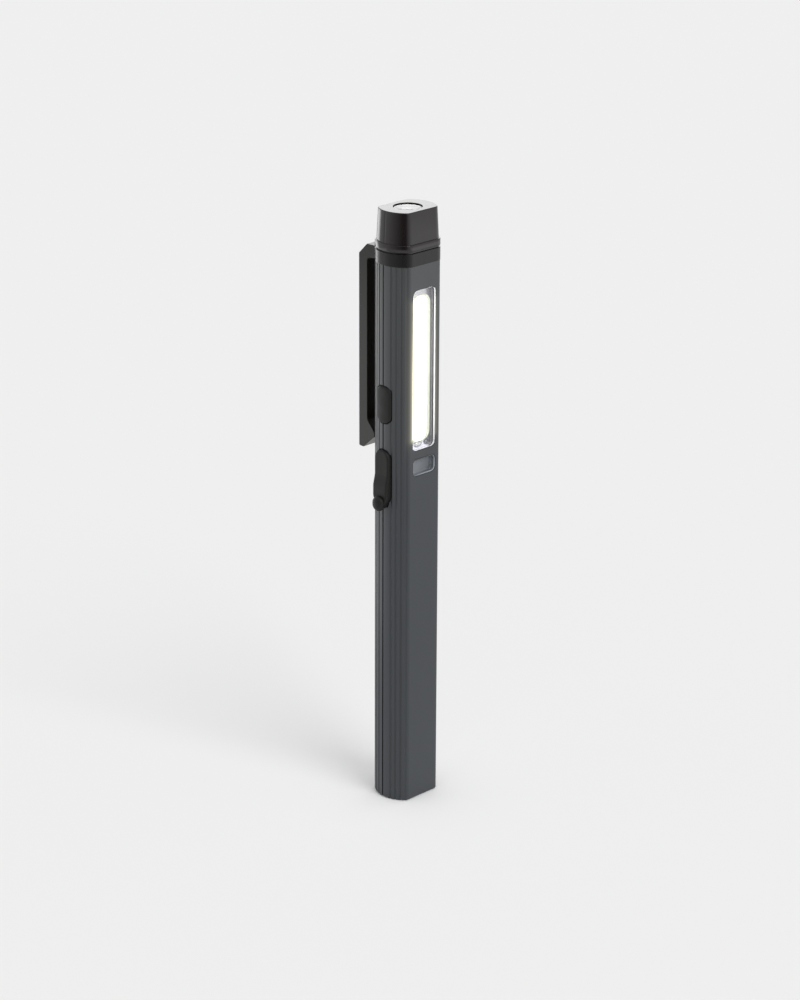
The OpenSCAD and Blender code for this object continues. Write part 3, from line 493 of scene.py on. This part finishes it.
def metal(name, tint, rough):
    """Plated metal with fine brushing and a little tarnish."""
    m = Mat(name)
    brushing = m.noise(3000.0, detail=4.0, rough=0.7, vector=m.stretched(1.0, 0.1, 1.0))
    tarnish = m.noise(500.0, detail=4.0, rough=0.6)
    colour = m.blend(m.span(tarnish, 0.4, 0.7, 0.0, 0.7), tint, scaled(tint, 0.75))
    roughness = m.span(brushing, 0.3, 0.7, rough, rough + 0.15)
    bumped = m.bump(brushing, 0.2, FINE)
    return m.surface(Base_Color=colour, Roughness=roughness, Normal=bumped, Metallic=1.0)


def solder_joint(name, bright, dull_and_shaded):
    """Reflowed solder flecked with flux: bright on the left joint, with painted shade that makes the right
    one and the solder below duller.
    """
    bright_x, shaded_x, most_shaded = 1.0, 1.6, 0.9
    shaded_from, shaded_to = 0.1, 0.5
    m = Mat(name)
    xyz = m.node("ShaderNodeSeparateXYZ", Vector=m.where)
    flux = m.noise(1500.0, detail=3.0, rough=0.6)
    right = m.span(xyz.outputs["X"], bright_x * MM, shaded_x * MM, 0.0, most_shaded)
    below = m.span(xyz.outputs["Z"], (JOINT_Z - shaded_from) * MM, (JOINT_Z - shaded_to) * MM)
    # Painted shade on the right joint and below it.
    side = m.math("MAXIMUM", right, below)
    colour = m.blend(side, m.blend(m.span(flux, 0.45, 0.7, 0.0, 0.5), bright, dull_and_shaded), dull_and_shaded)
    return m.surface(Base_Color=colour, Roughness=m.span(flux, 0.3, 0.7, 0.28, 0.4),
                     Normal=m.bump(flux, 0.1, FINE), Metallic=1.0)


def board(name, tint, traces):
    """Solder mask over copper tracks."""
    m = Mat(name)
    tracks = m.node("ShaderNodeTexBrick", {"offset": 0.5}, Scale=260.0, Mortar_Size=0.03,
                    Vector=m.where).outputs["Fac"]
    mottle = m.noise(700.0, detail=4.0, rough=0.6)
    colour = m.blend(tracks, m.blend(m.span(mottle, 0.3, 0.7, 0.0, 0.5), tint, traces), traces)
    return m.surface(Base_Color=colour, Roughness=m.span(mottle, 0.3, 0.7, 0.25, 0.4),
                     Normal=m.bump(tracks, 0.3, COARSE))


def shaded_board(name, lit, dim, glow):
    """White surface with a painted glow for the strip's light on it, and painted shade towards its right
    edge.
    """
    m = Mat(name)
    x = m.node("ShaderNodeSeparateXYZ", Vector=m.where).outputs["X"]
    mottle = m.noise(700.0, detail=4.0, rough=0.6)
    colour = m.blend(m.span(mottle, 0.3, 0.7), lit, scaled(lit, 0.93))
    colour = m.blend(m.span(x, DIM_X0 * MM, DIM_X1 * MM), colour, dim)
    return m.surface(Base_Color=colour, Roughness=m.span(mottle, 0.3, 0.7, 0.3, 0.45),
                     Normal=m.bump(mottle, 0.15, FINE), Emission_Color=lit,
                     Emission_Strength=m.span(x, DIM_X0 * MM, DIM_X1 * MM, glow, 0.0))


def glossy_cover(name, tint):
    """Shrink sleeve or wire insulation: smooth, with faint drawn lines."""
    m = Mat(name)
    drawn = m.noise(1500.0, detail=3.0, rough=0.6, vector=m.stretched(1.0, 1.0, 0.05))
    colour = m.blend(m.span(drawn, 0.3, 0.7), tint, scaled(tint, 0.8))
    return m.surface(Base_Color=colour, Roughness=m.span(drawn, 0.3, 0.7, 0.25, 0.37),
                     Normal=m.bump(drawn, 0.15, FINE))


def lit_phosphor(name, half_width):
    """Lit strip: white in its middle, yellower at its edges, with a faint row of dies."""
    m = Mat(name)
    across = m.math("ABSOLUTE", m.node("ShaderNodeSeparateXYZ", Vector=m.where).outputs["X"])
    side = m.span(across, half_width * 0.8, half_width)
    dies = m.cells(700.0)
    glow = m.blend(side, (1.0, 0.99, 0.93, 1.0), (1.0, 0.99, 0.84, 1.0))
    strength = m.math("MULTIPLY", m.span(side, 0.0, 1.0, 3.2, 2.2), m.span(dies, 0.0, 0.6, 1.05, 0.92))
    return m.surface(Base_Color=m.blend(side, (0.95, 0.93, 0.75, 1), (0.9, 0.86, 0.5, 1)),
                     Roughness=m.span(dies, 0.0, 0.6, 0.35, 0.5),
                     Emission_Color=glow, Emission_Strength=strength)


def make_materials():
    """Every material by its name, which is its slot's where the record has one."""
    return {
        "shell_grey": case_plastic("shell_grey", linear(51, 55, 60), 0.36),
        "black_plastic": moulded_plastic("black_plastic", linear(19, 17, 14), 0.3, grain=0.15, ior=1.44),
        "collar_black": moulded_plastic("collar_black", linear(16, 16, 16), 0.26, grain=0.1, worn=0.2,
                                        ior=1.39),
        "polished_black": moulded_plastic("polished_black", linear(27, 22, 23), 0.14, grain=0.04,
                                          worn=0.2, edge=0.05),
        "black_rubber": rubber("black_rubber", linear(19, 19, 18)),
        "clear_lens": clear_plastic("clear_lens", (0.98, 0.985, 0.99, 1.0), 0.02),
        "torch_glass": clear_plastic("torch_glass", (0.25, 0.25, 0.26, 1.0), 0.05),
        "lens_edge": frosted_edge("lens_edge", 0.4),
        # Both panes carry painted shade; the rim also carries a painted glow.
        "smoked_lens": smoky_pane("smoked_lens", linear(137, 141, 148), linear(103, 108, 114)),
        "smoked_rim": smoky_pane("smoked_rim", linear(123, 127, 135), linear(62, 64, 68), 0.12),
        "white_plastic": moulded_plastic("white_plastic", linear(232, 232, 232), 0.3, worn=0.0),
        # The reflector and the white board carry painted glow and painted shade from the strip.
        "frame_painted_light": shaded_board("frame_painted_light", linear(214, 213, 222), linear(112, 112, 118), 0.4),
        "white_board": shaded_board("white_board", linear(226, 225, 232), linear(136, 135, 144), 0.1),
        # The dam's glow is painted light from the strip.
        "dam_silicone": moulded_plastic("dam_silicone", linear(228, 232, 212), 0.35, worn=0.0, glow=0.12),
        "lit_phosphor": lit_phosphor("lit_phosphor", STRIP_W / 2 * MM),
        "led_dome": moulded_plastic("led_dome", linear(240, 226, 150), 0.2, worn=0.0),
        "solder": solder_joint("solder", (0.78, 0.78, 0.8, 1.0), (0.16, 0.16, 0.18, 1.0)),
        "bright_metal": metal("bright_metal", (0.8, 0.8, 0.82, 1.0), 0.2),
        "dark_resin": moulded_plastic("dark_resin", linear(52, 52, 54), 0.5, worn=0.1),
        "green_board": board("green_board", linear(30, 92, 52), linear(60, 130, 80)),
        "cell_sleeve": glossy_cover("cell_sleeve", linear(60, 110, 170)),
        "nickel": metal("nickel", (0.7, 0.69, 0.65, 1.0), 0.3),
        "wire_red": glossy_cover("wire_red", linear(190, 30, 25)),
        "wire_black": glossy_cover("wire_black", linear(34, 34, 34)),
    }


def dress(frame, materials):
    """Gives every carried-over CAD node its slot's material, or its own finish."""
    for part in frame["record"]["subparts"]:
        obj = frame["nodes"][part["node"]]
        obj.data.materials.clear()
        finish = OWN_FINISH.get(part["node"], part["material_slot"])
        obj.data.materials.append(materials[finish])


def arc(r, a0, a1, n):
    """Points on a circle about the origin, from one angle to another in degrees, both ends included."""
    return [(r * math.cos(math.radians(a0 + (a1 - a0) * i / n)),
             r * math.sin(math.radians(a0 + (a1 - a0) * i / n))) for i in range(n + 1)]


def section_ring(inset, corner, groove=0.0):
    """Section of the case: two arcs and two flats with rounded corners, and a groove at the parting line."""
    clear = 1.5
    groove_floor = 0.45
    r, h = BODY_R - inset, HALF_D - inset
    f = max(corner - inset, LEAST_CORNER)
    mx, my = math.sqrt((r - f) ** 2 - (h - f) ** 2), h - f
    low = math.degrees(math.atan2(my, mx))
    seam = math.degrees(math.asin(SEAM_Y / r))
    half = math.degrees(CAP_LINE_W / 2 / r)
    fillet = [(mx + x, my + y) for x, y in arc(f, low, 90, 8)]
    flat = [mx * t for t in (0.97, 0.6, 0.2, -0.2, -0.6, -0.97)]
    right = arc(r, -low + clear, seam - half, 12)
    right += arc(r - groove, seam - groove_floor * half, seam + groove_floor * half, 1)
    right += arc(r, seam + half, low - clear, 12)
    top = fillet + [(x, h) for x in flat] + [(-x, y) for x, y in reversed(fillet)]
    left = [(-x, y) for x, y in reversed(right)]
    bottom = [(-x, -y) for x, y in fillet] + [(-x, -h) for x in flat]
    bottom += [(x, -y) for x, y in reversed(fillet)]
    return right + top + left + bottom


def circle_like(ring, r):
    """Points of a circle at the polar angles of another ring's points."""
    return [(r * x / math.hypot(x, y), r * y / math.hypot(x, y)) for x, y in ring]


def between(a, b, t):
    """Ring a share t of the way from one ring to another."""
    return [(p[0] + (q[0] - p[0]) * t, p[1] + (q[1] - p[1]) * t) for p, q in zip(a, b)]


def rounded_ring(w, length, r, n=8):
    """Rounded rectangle, counter-clockwise, with points close to the ends of its straight sides."""
    turns = []
    for i, (sx, sy) in enumerate([(1, 1), (-1, 1), (-1, -1), (1, -1)]):
        cx, cy = sx * (w / 2 - r), sy * (length / 2 - r)
        turns.append([(cx + x, cy + y) for x, y in arc(r, 90 * i, 90 * i + 90, n)])
    out = []
    for i in range(4):
        out += turns[i]
        for t in (0.03, 0.25, 0.5, 0.75, 0.97):
            out += between(turns[i][-1:], turns[(i + 1) % 4][:1], t)
    return out


def loft(name, rings, close=(True, True), materials=(), bands=None, sharp=40.0):
    """Mesh through rings of points in millimetres, smooth except at sharp corners.
    bands gives the material index of each strip between two rings."""
    merge = 1e-7
    mesh = bpy.data.meshes.new(name)
    n = len(rings[0])
    verts = [tuple(c * MM for c in p) for ring in rings for p in ring]
    strips = range(len(rings) - 1)
    faces = [(i * n + k, i * n + (k + 1) % n, (i + 1) * n + (k + 1) % n, (i + 1) * n + k)
             for i in strips for k in range(n)]
    index = [bands[i] if bands else 0 for i in strips for k in range(n)]
    if close[0]:
        faces.append(tuple(reversed(range(n))))
        index.append(0)
    if close[1]:
        faces.append(tuple(range((len(rings) - 1) * n, len(rings) * n)))
        index.append(0)
    mesh.from_pydata(verts, [], faces)
    mesh.polygons.foreach_set("material_index", index)
    bm = bmesh.new()
    bm.from_mesh(mesh)
    bmesh.ops.remove_doubles(bm, verts=bm.verts, dist=merge)
    bmesh.ops.recalc_face_normals(bm, faces=bm.faces)
    bm.to_mesh(mesh)
    bm.free()
    mesh.polygons.foreach_set("use_smooth", [True] * len(mesh.polygons))
    mesh.set_sharp_from_angle(angle=math.radians(sharp))
    for material in materials:
        mesh.materials.append(material)
    obj = bpy.data.objects.new(name, mesh)
    bpy.context.scene.collection.objects.link(obj)
    return obj


def at_z(ring, z):
    """Flat ring laid level at a height."""
    return [(x, y, z) for x, y in ring]


def at_y(ring, y, x0, z0):
    """Flat ring stood upright at a depth, round a centre."""
    return [(x0 + x, y, z0 + z) for x, z in ring]


def add(obj, body, slot, *nodes):
    """Rides the piece on its body and hides the CAD nodes it stands for; its slot is not used."""
    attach(obj, body)
    if nodes:
        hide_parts(*nodes)
    return obj


def turned(step):
    """Sines and cosines of a quarter turn, at a step in degrees."""
    return [(math.sin(math.radians(a)), math.cos(math.radians(a))) for a in range(0, 91, step)]


def recess_rings(outer):
    """Eased mouth, wall and seat of the head's round recess, down from the top face."""
    ledge = 0.5
    seat = TOP_Z - RECESS_DEEP - LENS_T
    steps = [(RECESS_R + RECESS_EDGE * (1 - s), TOP_Z - RECESS_EDGE * (1 - c)) for s, c in turned(45)]
    steps += [(RECESS_R, z) for z in (TOP_Z - 1.5 * RECESS_EDGE, seat + 0.04, seat)]
    steps += [(RECESS_R - ledge, z) for z in (seat, seat - ledge)]
    return [at_z(circle_like(outer, r), z) for r, z in steps]


def make_head_cap(materials):
    """Polished cap with its flange, eased edges, parting line and the recess for the lens."""
    def ring(z, inset, groove=0.0):
        return at_z(section_ring(inset, HEAD_CORNER, groove), z)
    base = HEAD_STEP - RING_STEP
    top = base + HEAD_TAPER
    rings = [ring(COLLAR_Z1, NECK_INSET), ring(COLLAR_Z1, base), ring(FLANGE_Z, base)]
    edge = [(FLANGE_EDGE * (1 - c), FLANGE_EDGE * (1 - s) - RING_STEP) for s, c in turned(30)]
    rings += [ring(FLANGE_Z + rise, inset) for rise, inset in edge]
    rings += [ring(CAP_Z - rise, inset) for rise, inset in reversed(edge)]
    rings += [ring(CAP_Z, base), ring(CAP_Z + 0.02, base, CAP_LINE_DEEP)]
    rings.append(ring(CAP_Z + 0.1, base + 0.005, CAP_LINE_DEEP))
    wall_top = TOP_Z - CAP_EDGE
    for t in (0.25, 0.5, 0.75, 0.99):
        rings.append(ring(CAP_Z + (wall_top - CAP_Z) * t, base + HEAD_TAPER * t, CAP_LINE_DEEP))
    for s, c in turned(15):
        groove = CAP_LINE_DEEP * (1 - s)
        rings.append(ring(wall_top + CAP_EDGE * s, top + CAP_EDGE * (1 - c), groove))
    outer = section_ring(top + CAP_EDGE, HEAD_CORNER)
    hole = circle_like(outer, RECESS_R + RECESS_EDGE)
    rings += [at_z(between(outer, hole, t), TOP_Z) for t in (0.04, 0.5, 0.98)]
    rings += recess_rings(outer)
    cap = loft("cap_shell", rings, close=(False, False), materials=[materials["polished_black"]], sharp=50)
    return add(cap, "case", "black_plastic", "head_cap")


def make_torch_lens(materials):
    """Slightly domed clear lens with an eased rim."""
    sides = 64
    ease = 0.03
    r = RECESS_R - LENS_GAP
    z0 = TOP_Z - RECESS_DEEP - LENS_T
    rim = TOP_Z - LENS_FLUSH - LENS_DOME
    steps = [(r * 0.3, z0), (r * 0.98, z0), (r, z0 + ease), (r, rim - 4 * ease), (r - ease, rim - ease)]
    steps += [(r * t, rim + LENS_DOME * (1 - t * t)) for t in (0.98, 0.9, 0.75, 0.6, 0.45, 0.3, 0.15, 0.04)]
    rings = [at_z(arc(radius, 0, 360 - 360 / sides, sides - 1), z) for radius, z in steps]
    lens = loft("head_lens", rings, materials=[materials["torch_glass"]])
    return add(lens, "case", "clear_lens", "torch_lens")


def window_rings(spec):
    """Front face, eased edge, side and rear rim of a lens that fills a window."""
    w, length = spec["w"] - 2 * FACE_SUNK, spec["len"] - 2 * FACE_SUNK
    r = WIN_R - FACE_SUNK
    steps = [(FRONT_Y + FACE_SUNK + deep, inset) for deep, inset in PANE_EDGE] + [(RIM_Y0, 0.0)]
    rings = [at_y(rounded_ring(w - 2 * i, length - 2 * i, r - i), y, spec["x"], spec["z"]) for y, i in steps]
    out = rounded_ring(spec["w"] + 2 * spec["rim"], spec["len"] + 2 * spec["rim"], WIN_R)
    rings += [at_y(out, y, spec["x"], spec["z"]) for y in (RIM_Y0, RIM_Y1)]
    return rings


def make_light_lens(materials):
    """Clear lens of the strip light, whose cut edges have a painted glow for the light that they carry."""
    rings = window_rings(WIN)
    lens = loft("strip_lens", rings, materials=[materials["clear_lens"], materials["lens_edge"]],
                bands=[0] * 4 + [1] * 3, sharp=30)
    return add(lens, "case", "clear_lens", "light_window")


def make_indicator(materials):
    """Smoky tray-shaped pane."""
    w, length = IND["w"] - 2 * TRAY_LIP, IND["len"] - 2 * TRAY_LIP
    least_r = 0.2
    floor_y = FRONT_Y + TRAY_DEEP
    face = FRONT_Y + FACE_SUNK
    inner = [(floor_y, 0.6), (floor_y, 0.3), (floor_y - 0.06, 0.12), (floor_y - 0.16, 0.03),
             (floor_y - 0.3, 0.0), (face + TRAY_EDGE, 0.0)]
    inner += [(face + TRAY_EDGE * (1 - s), -TRAY_EDGE * (1 - c)) for s, c in turned(30)[1:]]
    rings = []
    for y, i in inner:
        ring = rounded_ring(w - 2 * i, length - 2 * i, max(WIN_R - TRAY_LIP - i, least_r))
        rings.append(at_y(ring, y, IND["x"], IND["z"]))
    rings += window_rings(IND)[2:]
    pane = loft("indicator_pane", rings, materials=[materials["smoked_lens"], materials["smoked_rim"]],
                bands=[0] * 5 + [1] * 8 + [0] * 2, sharp=50)
    return add(pane, "case", "smoked_lens", "indicator_window")


def make_pipe(materials):
    """Light pipe that leads from the charge LEDs to the indicator's pane."""
    length = IND["len"] - PIPE["short"]
    rings = []
    for y, i in ((RIM_Y1, 0.0), (RIM_Y1 + 0.1, 0.0), (PIPE["y1"] - 0.1, 0.0), (PIPE["y1"], 0.08)):
        ring = rounded_ring(PIPE["w"] - 2 * i, length - 2 * i, PIPE["r"])
        rings.append(at_y(ring, y, PIPE["x"], IND["z"]))
    pipe = loft("indicator_pipe", rings, materials=[materials["smoked_lens"]])
    return add(pipe, "case", "smoked_lens")


def make_button(materials):
    """Crowned rubber button that follows the round side of the case."""
    def point(y, z, drop):
        return (drop - math.sqrt((BODY_R + BTN_PROUD) ** 2 - (SEAM_Y + y) ** 2), SEAM_Y + y, BTN_Z + z)
    rings = []
    for x in BTN_ROOTS:
        rings.append([(x, SEAM_Y + y, BTN_Z + z) for y, z in rounded_ring(BTN_W, BTN_LEN, BTN_R, n=12)])
    for d, drop in BTN_EDGE + tuple((d, 0.0) for d in BTN_FACE):
        ring = rounded_ring(BTN_W - 2 * d, BTN_LEN - 2 * d, max(BTN_R - d, BTN_LEAST_R), n=12)
        rings.append([point(y, z, drop) for y, z in ring])
    button = loft("button_cap", rings, materials=[materials["black_rubber"]], sharp=60)
    return add(button, "button", "black_rubber", "power_button")


def cover_half(z):
    """Half width of the charging cover at a height."""
    if z > PORT_Z1 - COVER_R:
        return PORT_W / 2 - COVER_R + math.sqrt(max(0.0, COVER_R ** 2 - (z - PORT_Z1 + COVER_R) ** 2))
    t = min(1.0, (z - PORT_Z0) / FOOT_TAPER)
    return FOOT_HALF + (PORT_W / 2 - FOOT_HALF) * t * t * (3 - 2 * t)


def edge_drop(d):
    """How far the cover's rounded end falls away at a distance from it."""
    off = max(0.0, COVER_EDGE - d)
    return COVER_EDGE - math.sqrt(max(0.0, COVER_EDGE ** 2 - off ** 2))


def cover_out(z):
    """How far the charging cover stands out at a height: it leans out over its lower half."""
    lean = min(1.0, max(0.0, 1 - (z - PORT_Z0 - LEAN_RISE) / LEAN_RUN))
    out = COVER_TOP + (COVER_FOOT - COVER_TOP) * lean * lean * (3 - 2 * lean)
    return out - edge_drop(PORT_Z1 - z) - edge_drop(z - PORT_Z0)


def cover_ring(z):
    """Section of the rubber cover at a height, from inside its pocket out over its rounded face."""
    h = cover_half(z)
    e = min(COVER_EDGE, 0.8 * h)
    x = -BODY_R - cover_out(z)
    half = [(POCKET_X, h), ((POCKET_X + x + e) / 2, h), (x + e + 0.1, h)]
    half += [(x + e * (1 - s), h - e * (1 - c)) for s, c in turned(15)]
    half += [(x, (h - e) * t) for t in (0.9, 0.5, 0.0)]
    ring = half + [(px, -py) for px, py in reversed(half[:-1])]
    return [(px, SEAM_Y + py, z) for px, py in ring]


def make_cover(materials):
    """One rubber moulding: a fixed strap at its top and a flap below it."""
    zs = [PORT_Z0 + COVER_EDGE * (1 - c) for s, c in turned(15)]
    zs[0] = PORT_Z0 + COVER_END
    while zs[-1] < PORT_Z1 - COVER_R - 1.05 * COVER_STEP:
        zs.append(zs[-1] + COVER_STEP)
    top = [PORT_Z1 - COVER_R * (1 - s) for s, c in turned(9)]
    top[-1] = PORT_Z1 - COVER_END
    flap = loft("charging_cover", [cover_ring(z) for z in zs + top], materials=[materials["black_rubber"]],
                sharp=70)
    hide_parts("port_cover", "port_cover_strap")
    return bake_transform(flap)


def knob_ring(x, f, off):
    """Oblong ring round the knob's axis, f times its full size."""
    sides = 48
    r = KNOB_W / 2 * f
    return [(KNOB_X + x, SEAM_Y + r * c, KNOB_Z + r * s + (off if s >= 0 else -off))
            for c, s in arc(1.0, 0, 360 - 360 / sides, sides - 1)]


def make_knob(materials):
    """Domed pull knob at the foot of the cover."""
    off = (KNOB_LEN - KNOB_W) / 2
    rings = [knob_ring(x, f, off) for x, f in KNOB_STEM]
    for a in KNOB_TURNS:
        f = math.cos(math.radians(a))
        rings.append(knob_ring(-KNOB_CROWN * math.sin(math.radians(a)), f, off * math.sqrt(f)))
    knob = loft("cover_knob", rings, materials=[materials["black_rubber"]], sharp=70)
    return add(knob, "cover_flap", "black_rubber")


def make_plug(materials):
    """Oblong plug on the back of the cover, which fills the socket's mouth."""
    straight = 0.03
    rings = []
    for x, i in PLUG_SIDE:
        ring = rounded_ring(PLUG_W - 2 * i, PLUG_LEN - 2 * i, PLUG_W / 2 - straight - i)
        rings.append([(POCKET_X + x, SEAM_Y + y, PORT_Z1 - SOCKET_DROP + z) for y, z in ring])
    plug = loft("cover_plug", rings, materials=[materials["black_rubber"]], sharp=60)
    return add(plug, "cover_flap", "black_rubber")


def paper_floor():
    """Matt paper, painted paler close to the object: painted light that evens out the shade the object casts
    round its foot.
    """
    near_reach, near_share = 25, 0.8
    far_reach, far_share = 80, 0.15
    painted_palest = 1.164
    m = Mat("paper_floor")
    fibre = m.noise(900.0, detail=3.0, rough=0.5)
    length = m.node("ShaderNodeVectorMath", {"operation": "LENGTH"})
    m.put(length.inputs[0], m.where)
    away = length.outputs["Value"]
    # Painted light near the object, against the shade that the object casts round its foot.
    painted_light_share = m.math("ADD", m.math("MULTIPLY", fading(m, away, near_reach), near_share),
                   m.math("MULTIPLY", fading(m, away, far_reach), far_share))
    colour = m.blend(painted_light_share, BACKGROUND, scaled(BACKGROUND, painted_palest))
    return m.surface(Base_Color=colour, Roughness=0.9, Specular_IOR_Level=0.0,
                     Normal=m.bump(fibre, 0.05, SPARK))


def place_stage(mesh):
    """Object for a mesh that belongs to the studio and not to the light."""
    obj = bpy.data.objects.new(mesh.name, mesh)
    bpy.context.scene.collection.objects.link(obj)
    return obj


def make_floor():
    """Wide flat floor that the object stands on."""
    half = 12.0
    corner_points = [(-half, -half, 0), (half, -half, 0), (half, half, 0), (-half, half, 0)]
    mesh = bpy.data.meshes.new("floor")
    mesh.from_pydata(corner_points, [], [(0, 1, 2, 3)])
    mesh.materials.append(paper_floor())
    place_stage(mesh)


def black_card():
    """Black in the middle of the flag, and clearer towards its two ends."""
    m = Mat("black_card")
    xyz = m.node("ShaderNodeSeparateXYZ", Vector=m.where)
    around = m.math("ARCTAN2", xyz.outputs["X"], m.math("MULTIPLY", xyz.outputs["Y"], -1.0))
    around = m.math("SUBTRACT", around, math.radians(AZIMUTH))
    fades = [m.span(around, math.radians(black), math.radians(end))
             for black, end in ((FLAG_BLACK0, FLAG_LEFT), (FLAG_BLACK1, FLAG_RIGHT))]
    dark = m.node("ShaderNodeBsdfDiffuse", Color=(0.01, 0.01, 0.01, 1))
    clear = m.node("ShaderNodeBsdfTransparent")
    return m.mixed(m.math("MAXIMUM", *fades), dark, clear)


def make_flag():
    """Curved black card in front of the object, which only reflections see."""
    steps = 48
    verts = []
    for i in range(steps + 1):
        p = toward(AZIMUTH + FLAG_LEFT + (FLAG_RIGHT - FLAG_LEFT) * i / steps, 0) * FLAG_AWAY
        verts += [(p.x, p.y, FLAG_Z0), (p.x, p.y, FLAG_Z1)]
    faces = [(2 * i, 2 * i + 2, 2 * i + 3, 2 * i + 1) for i in range(steps)]
    mesh = bpy.data.meshes.new("flag")
    mesh.from_pydata(verts, [], faces)
    mesh.materials.append(black_card())
    flag = place_stage(mesh)
    flag.visible_camera = False
    flag.visible_diffuse = False
    flag.visible_shadow = False
    flag.visible_transmission = False


def reflected_card(name, azimuth, elevation, distance, height, size, radiance):
    """Area lamp that only shows in reflections, at a place seen from a height on the object's axis."""
    lamp = bpy.data.lights.new(name, "AREA")
    lamp.shape = "RECTANGLE"
    lamp.size, lamp.size_y = size
    lamp.energy = radiance * math.pi * size[0] * size[1]
    obj = bpy.data.objects.new(name, lamp)
    bpy.context.scene.collection.objects.link(obj)
    out = toward(azimuth, elevation)
    turn = out.to_track_quat("Z", "Y").to_matrix().to_4x4()
    obj.matrix_world = Matrix.Translation(Vector((0, 0, height)) + out * distance) @ turn
    obj.visible_camera = obj.visible_diffuse = False


def make_world():
    """Even light from all round, which the camera, gloss and glass see as the floor's colour."""
    world = bpy.data.worlds.new("studio")
    bpy.context.scene.world = world
    world.use_nodes = True
    tree = world.node_tree
    tree.nodes.clear()
    out = tree.nodes.new("ShaderNodeOutputWorld")
    soft = tree.nodes.new("ShaderNodeBackground")
    soft.inputs["Color"].default_value = (1, 1, 1, 1)
    soft.inputs["Strength"].default_value = AMBIENT
    seen = tree.nodes.new("ShaderNodeBackground")
    seen.inputs["Color"].default_value = BACKGROUND
    path = tree.nodes.new("ShaderNodeLightPath")
    seen_by = path.outputs["Is Camera Ray"]
    for kind in ("Is Glossy Ray", "Is Transmission Ray"):
        either = tree.nodes.new("ShaderNodeMath")
        either.operation = "MAXIMUM"
        tree.links.new(seen_by, either.inputs[0])
        tree.links.new(path.outputs[kind], either.inputs[1])
        seen_by = either.outputs[0]
    pick = tree.nodes.new("ShaderNodeMixShader")
    tree.links.new(seen_by, pick.inputs[0])
    tree.links.new(soft.outputs[0], pick.inputs[1])
    tree.links.new(seen.outputs[0], pick.inputs[2])
    tree.links.new(pick.outputs[0], out.inputs[0])


def make_lamps():
    """Soft sun from the right of the camera, and the cards that the gloss reflects."""
    sun = bpy.data.lights.new("key", "SUN")
    sun.energy = SUN_STRENGTH
    sun.angle = math.radians(SUN_SOFTNESS)
    key = bpy.data.objects.new("key", sun)
    bpy.context.scene.collection.objects.link(key)
    key.rotation_mode = "QUATERNION"
    key.rotation_quaternion = toward(AZIMUTH + SUN_AROUND, SUN_UP).to_track_quat("Z", "Y")
    reflected_card("back_softbox", AZIMUTH + 180, elevation=20, distance=1.5, height=0.165,
                   size=(1.2, 0.7), radiance=1.9)
    reflected_card("head_strip", AZIMUTH - 138, elevation=-14, distance=0.45, height=0.165,
                   size=(0.2, 0.22), radiance=2.1)
    reflected_card("side_strip", AZIMUTH - 119, elevation=0, distance=0.12, height=0.0575,
                   size=(0.2, 0.115), radiance=0.65)
    reflected_card("front_fill", AZIMUTH + 92, elevation=0, distance=0.4, height=0.045,
                   size=(0.5, 0.09), radiance=0.6)


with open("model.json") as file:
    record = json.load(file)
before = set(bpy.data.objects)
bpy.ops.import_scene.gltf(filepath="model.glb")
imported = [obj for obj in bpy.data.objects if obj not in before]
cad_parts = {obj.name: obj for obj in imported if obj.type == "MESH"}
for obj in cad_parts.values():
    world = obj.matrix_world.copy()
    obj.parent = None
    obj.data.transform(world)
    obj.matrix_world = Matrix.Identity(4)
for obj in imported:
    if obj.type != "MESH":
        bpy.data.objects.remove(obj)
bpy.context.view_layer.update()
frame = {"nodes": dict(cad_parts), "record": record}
make_camera()
materials = make_materials()
dress(frame, materials)
make_head_cap(materials)
make_torch_lens(materials)
make_light_lens(materials)
make_indicator(materials)
make_pipe(materials)
make_button(materials)
make_cover(materials)
make_knob(materials)
make_plug(materials)
make_floor()
make_flag()
make_world()
make_lamps()
bpy.context.scene.view_settings.view_transform = "Standard"
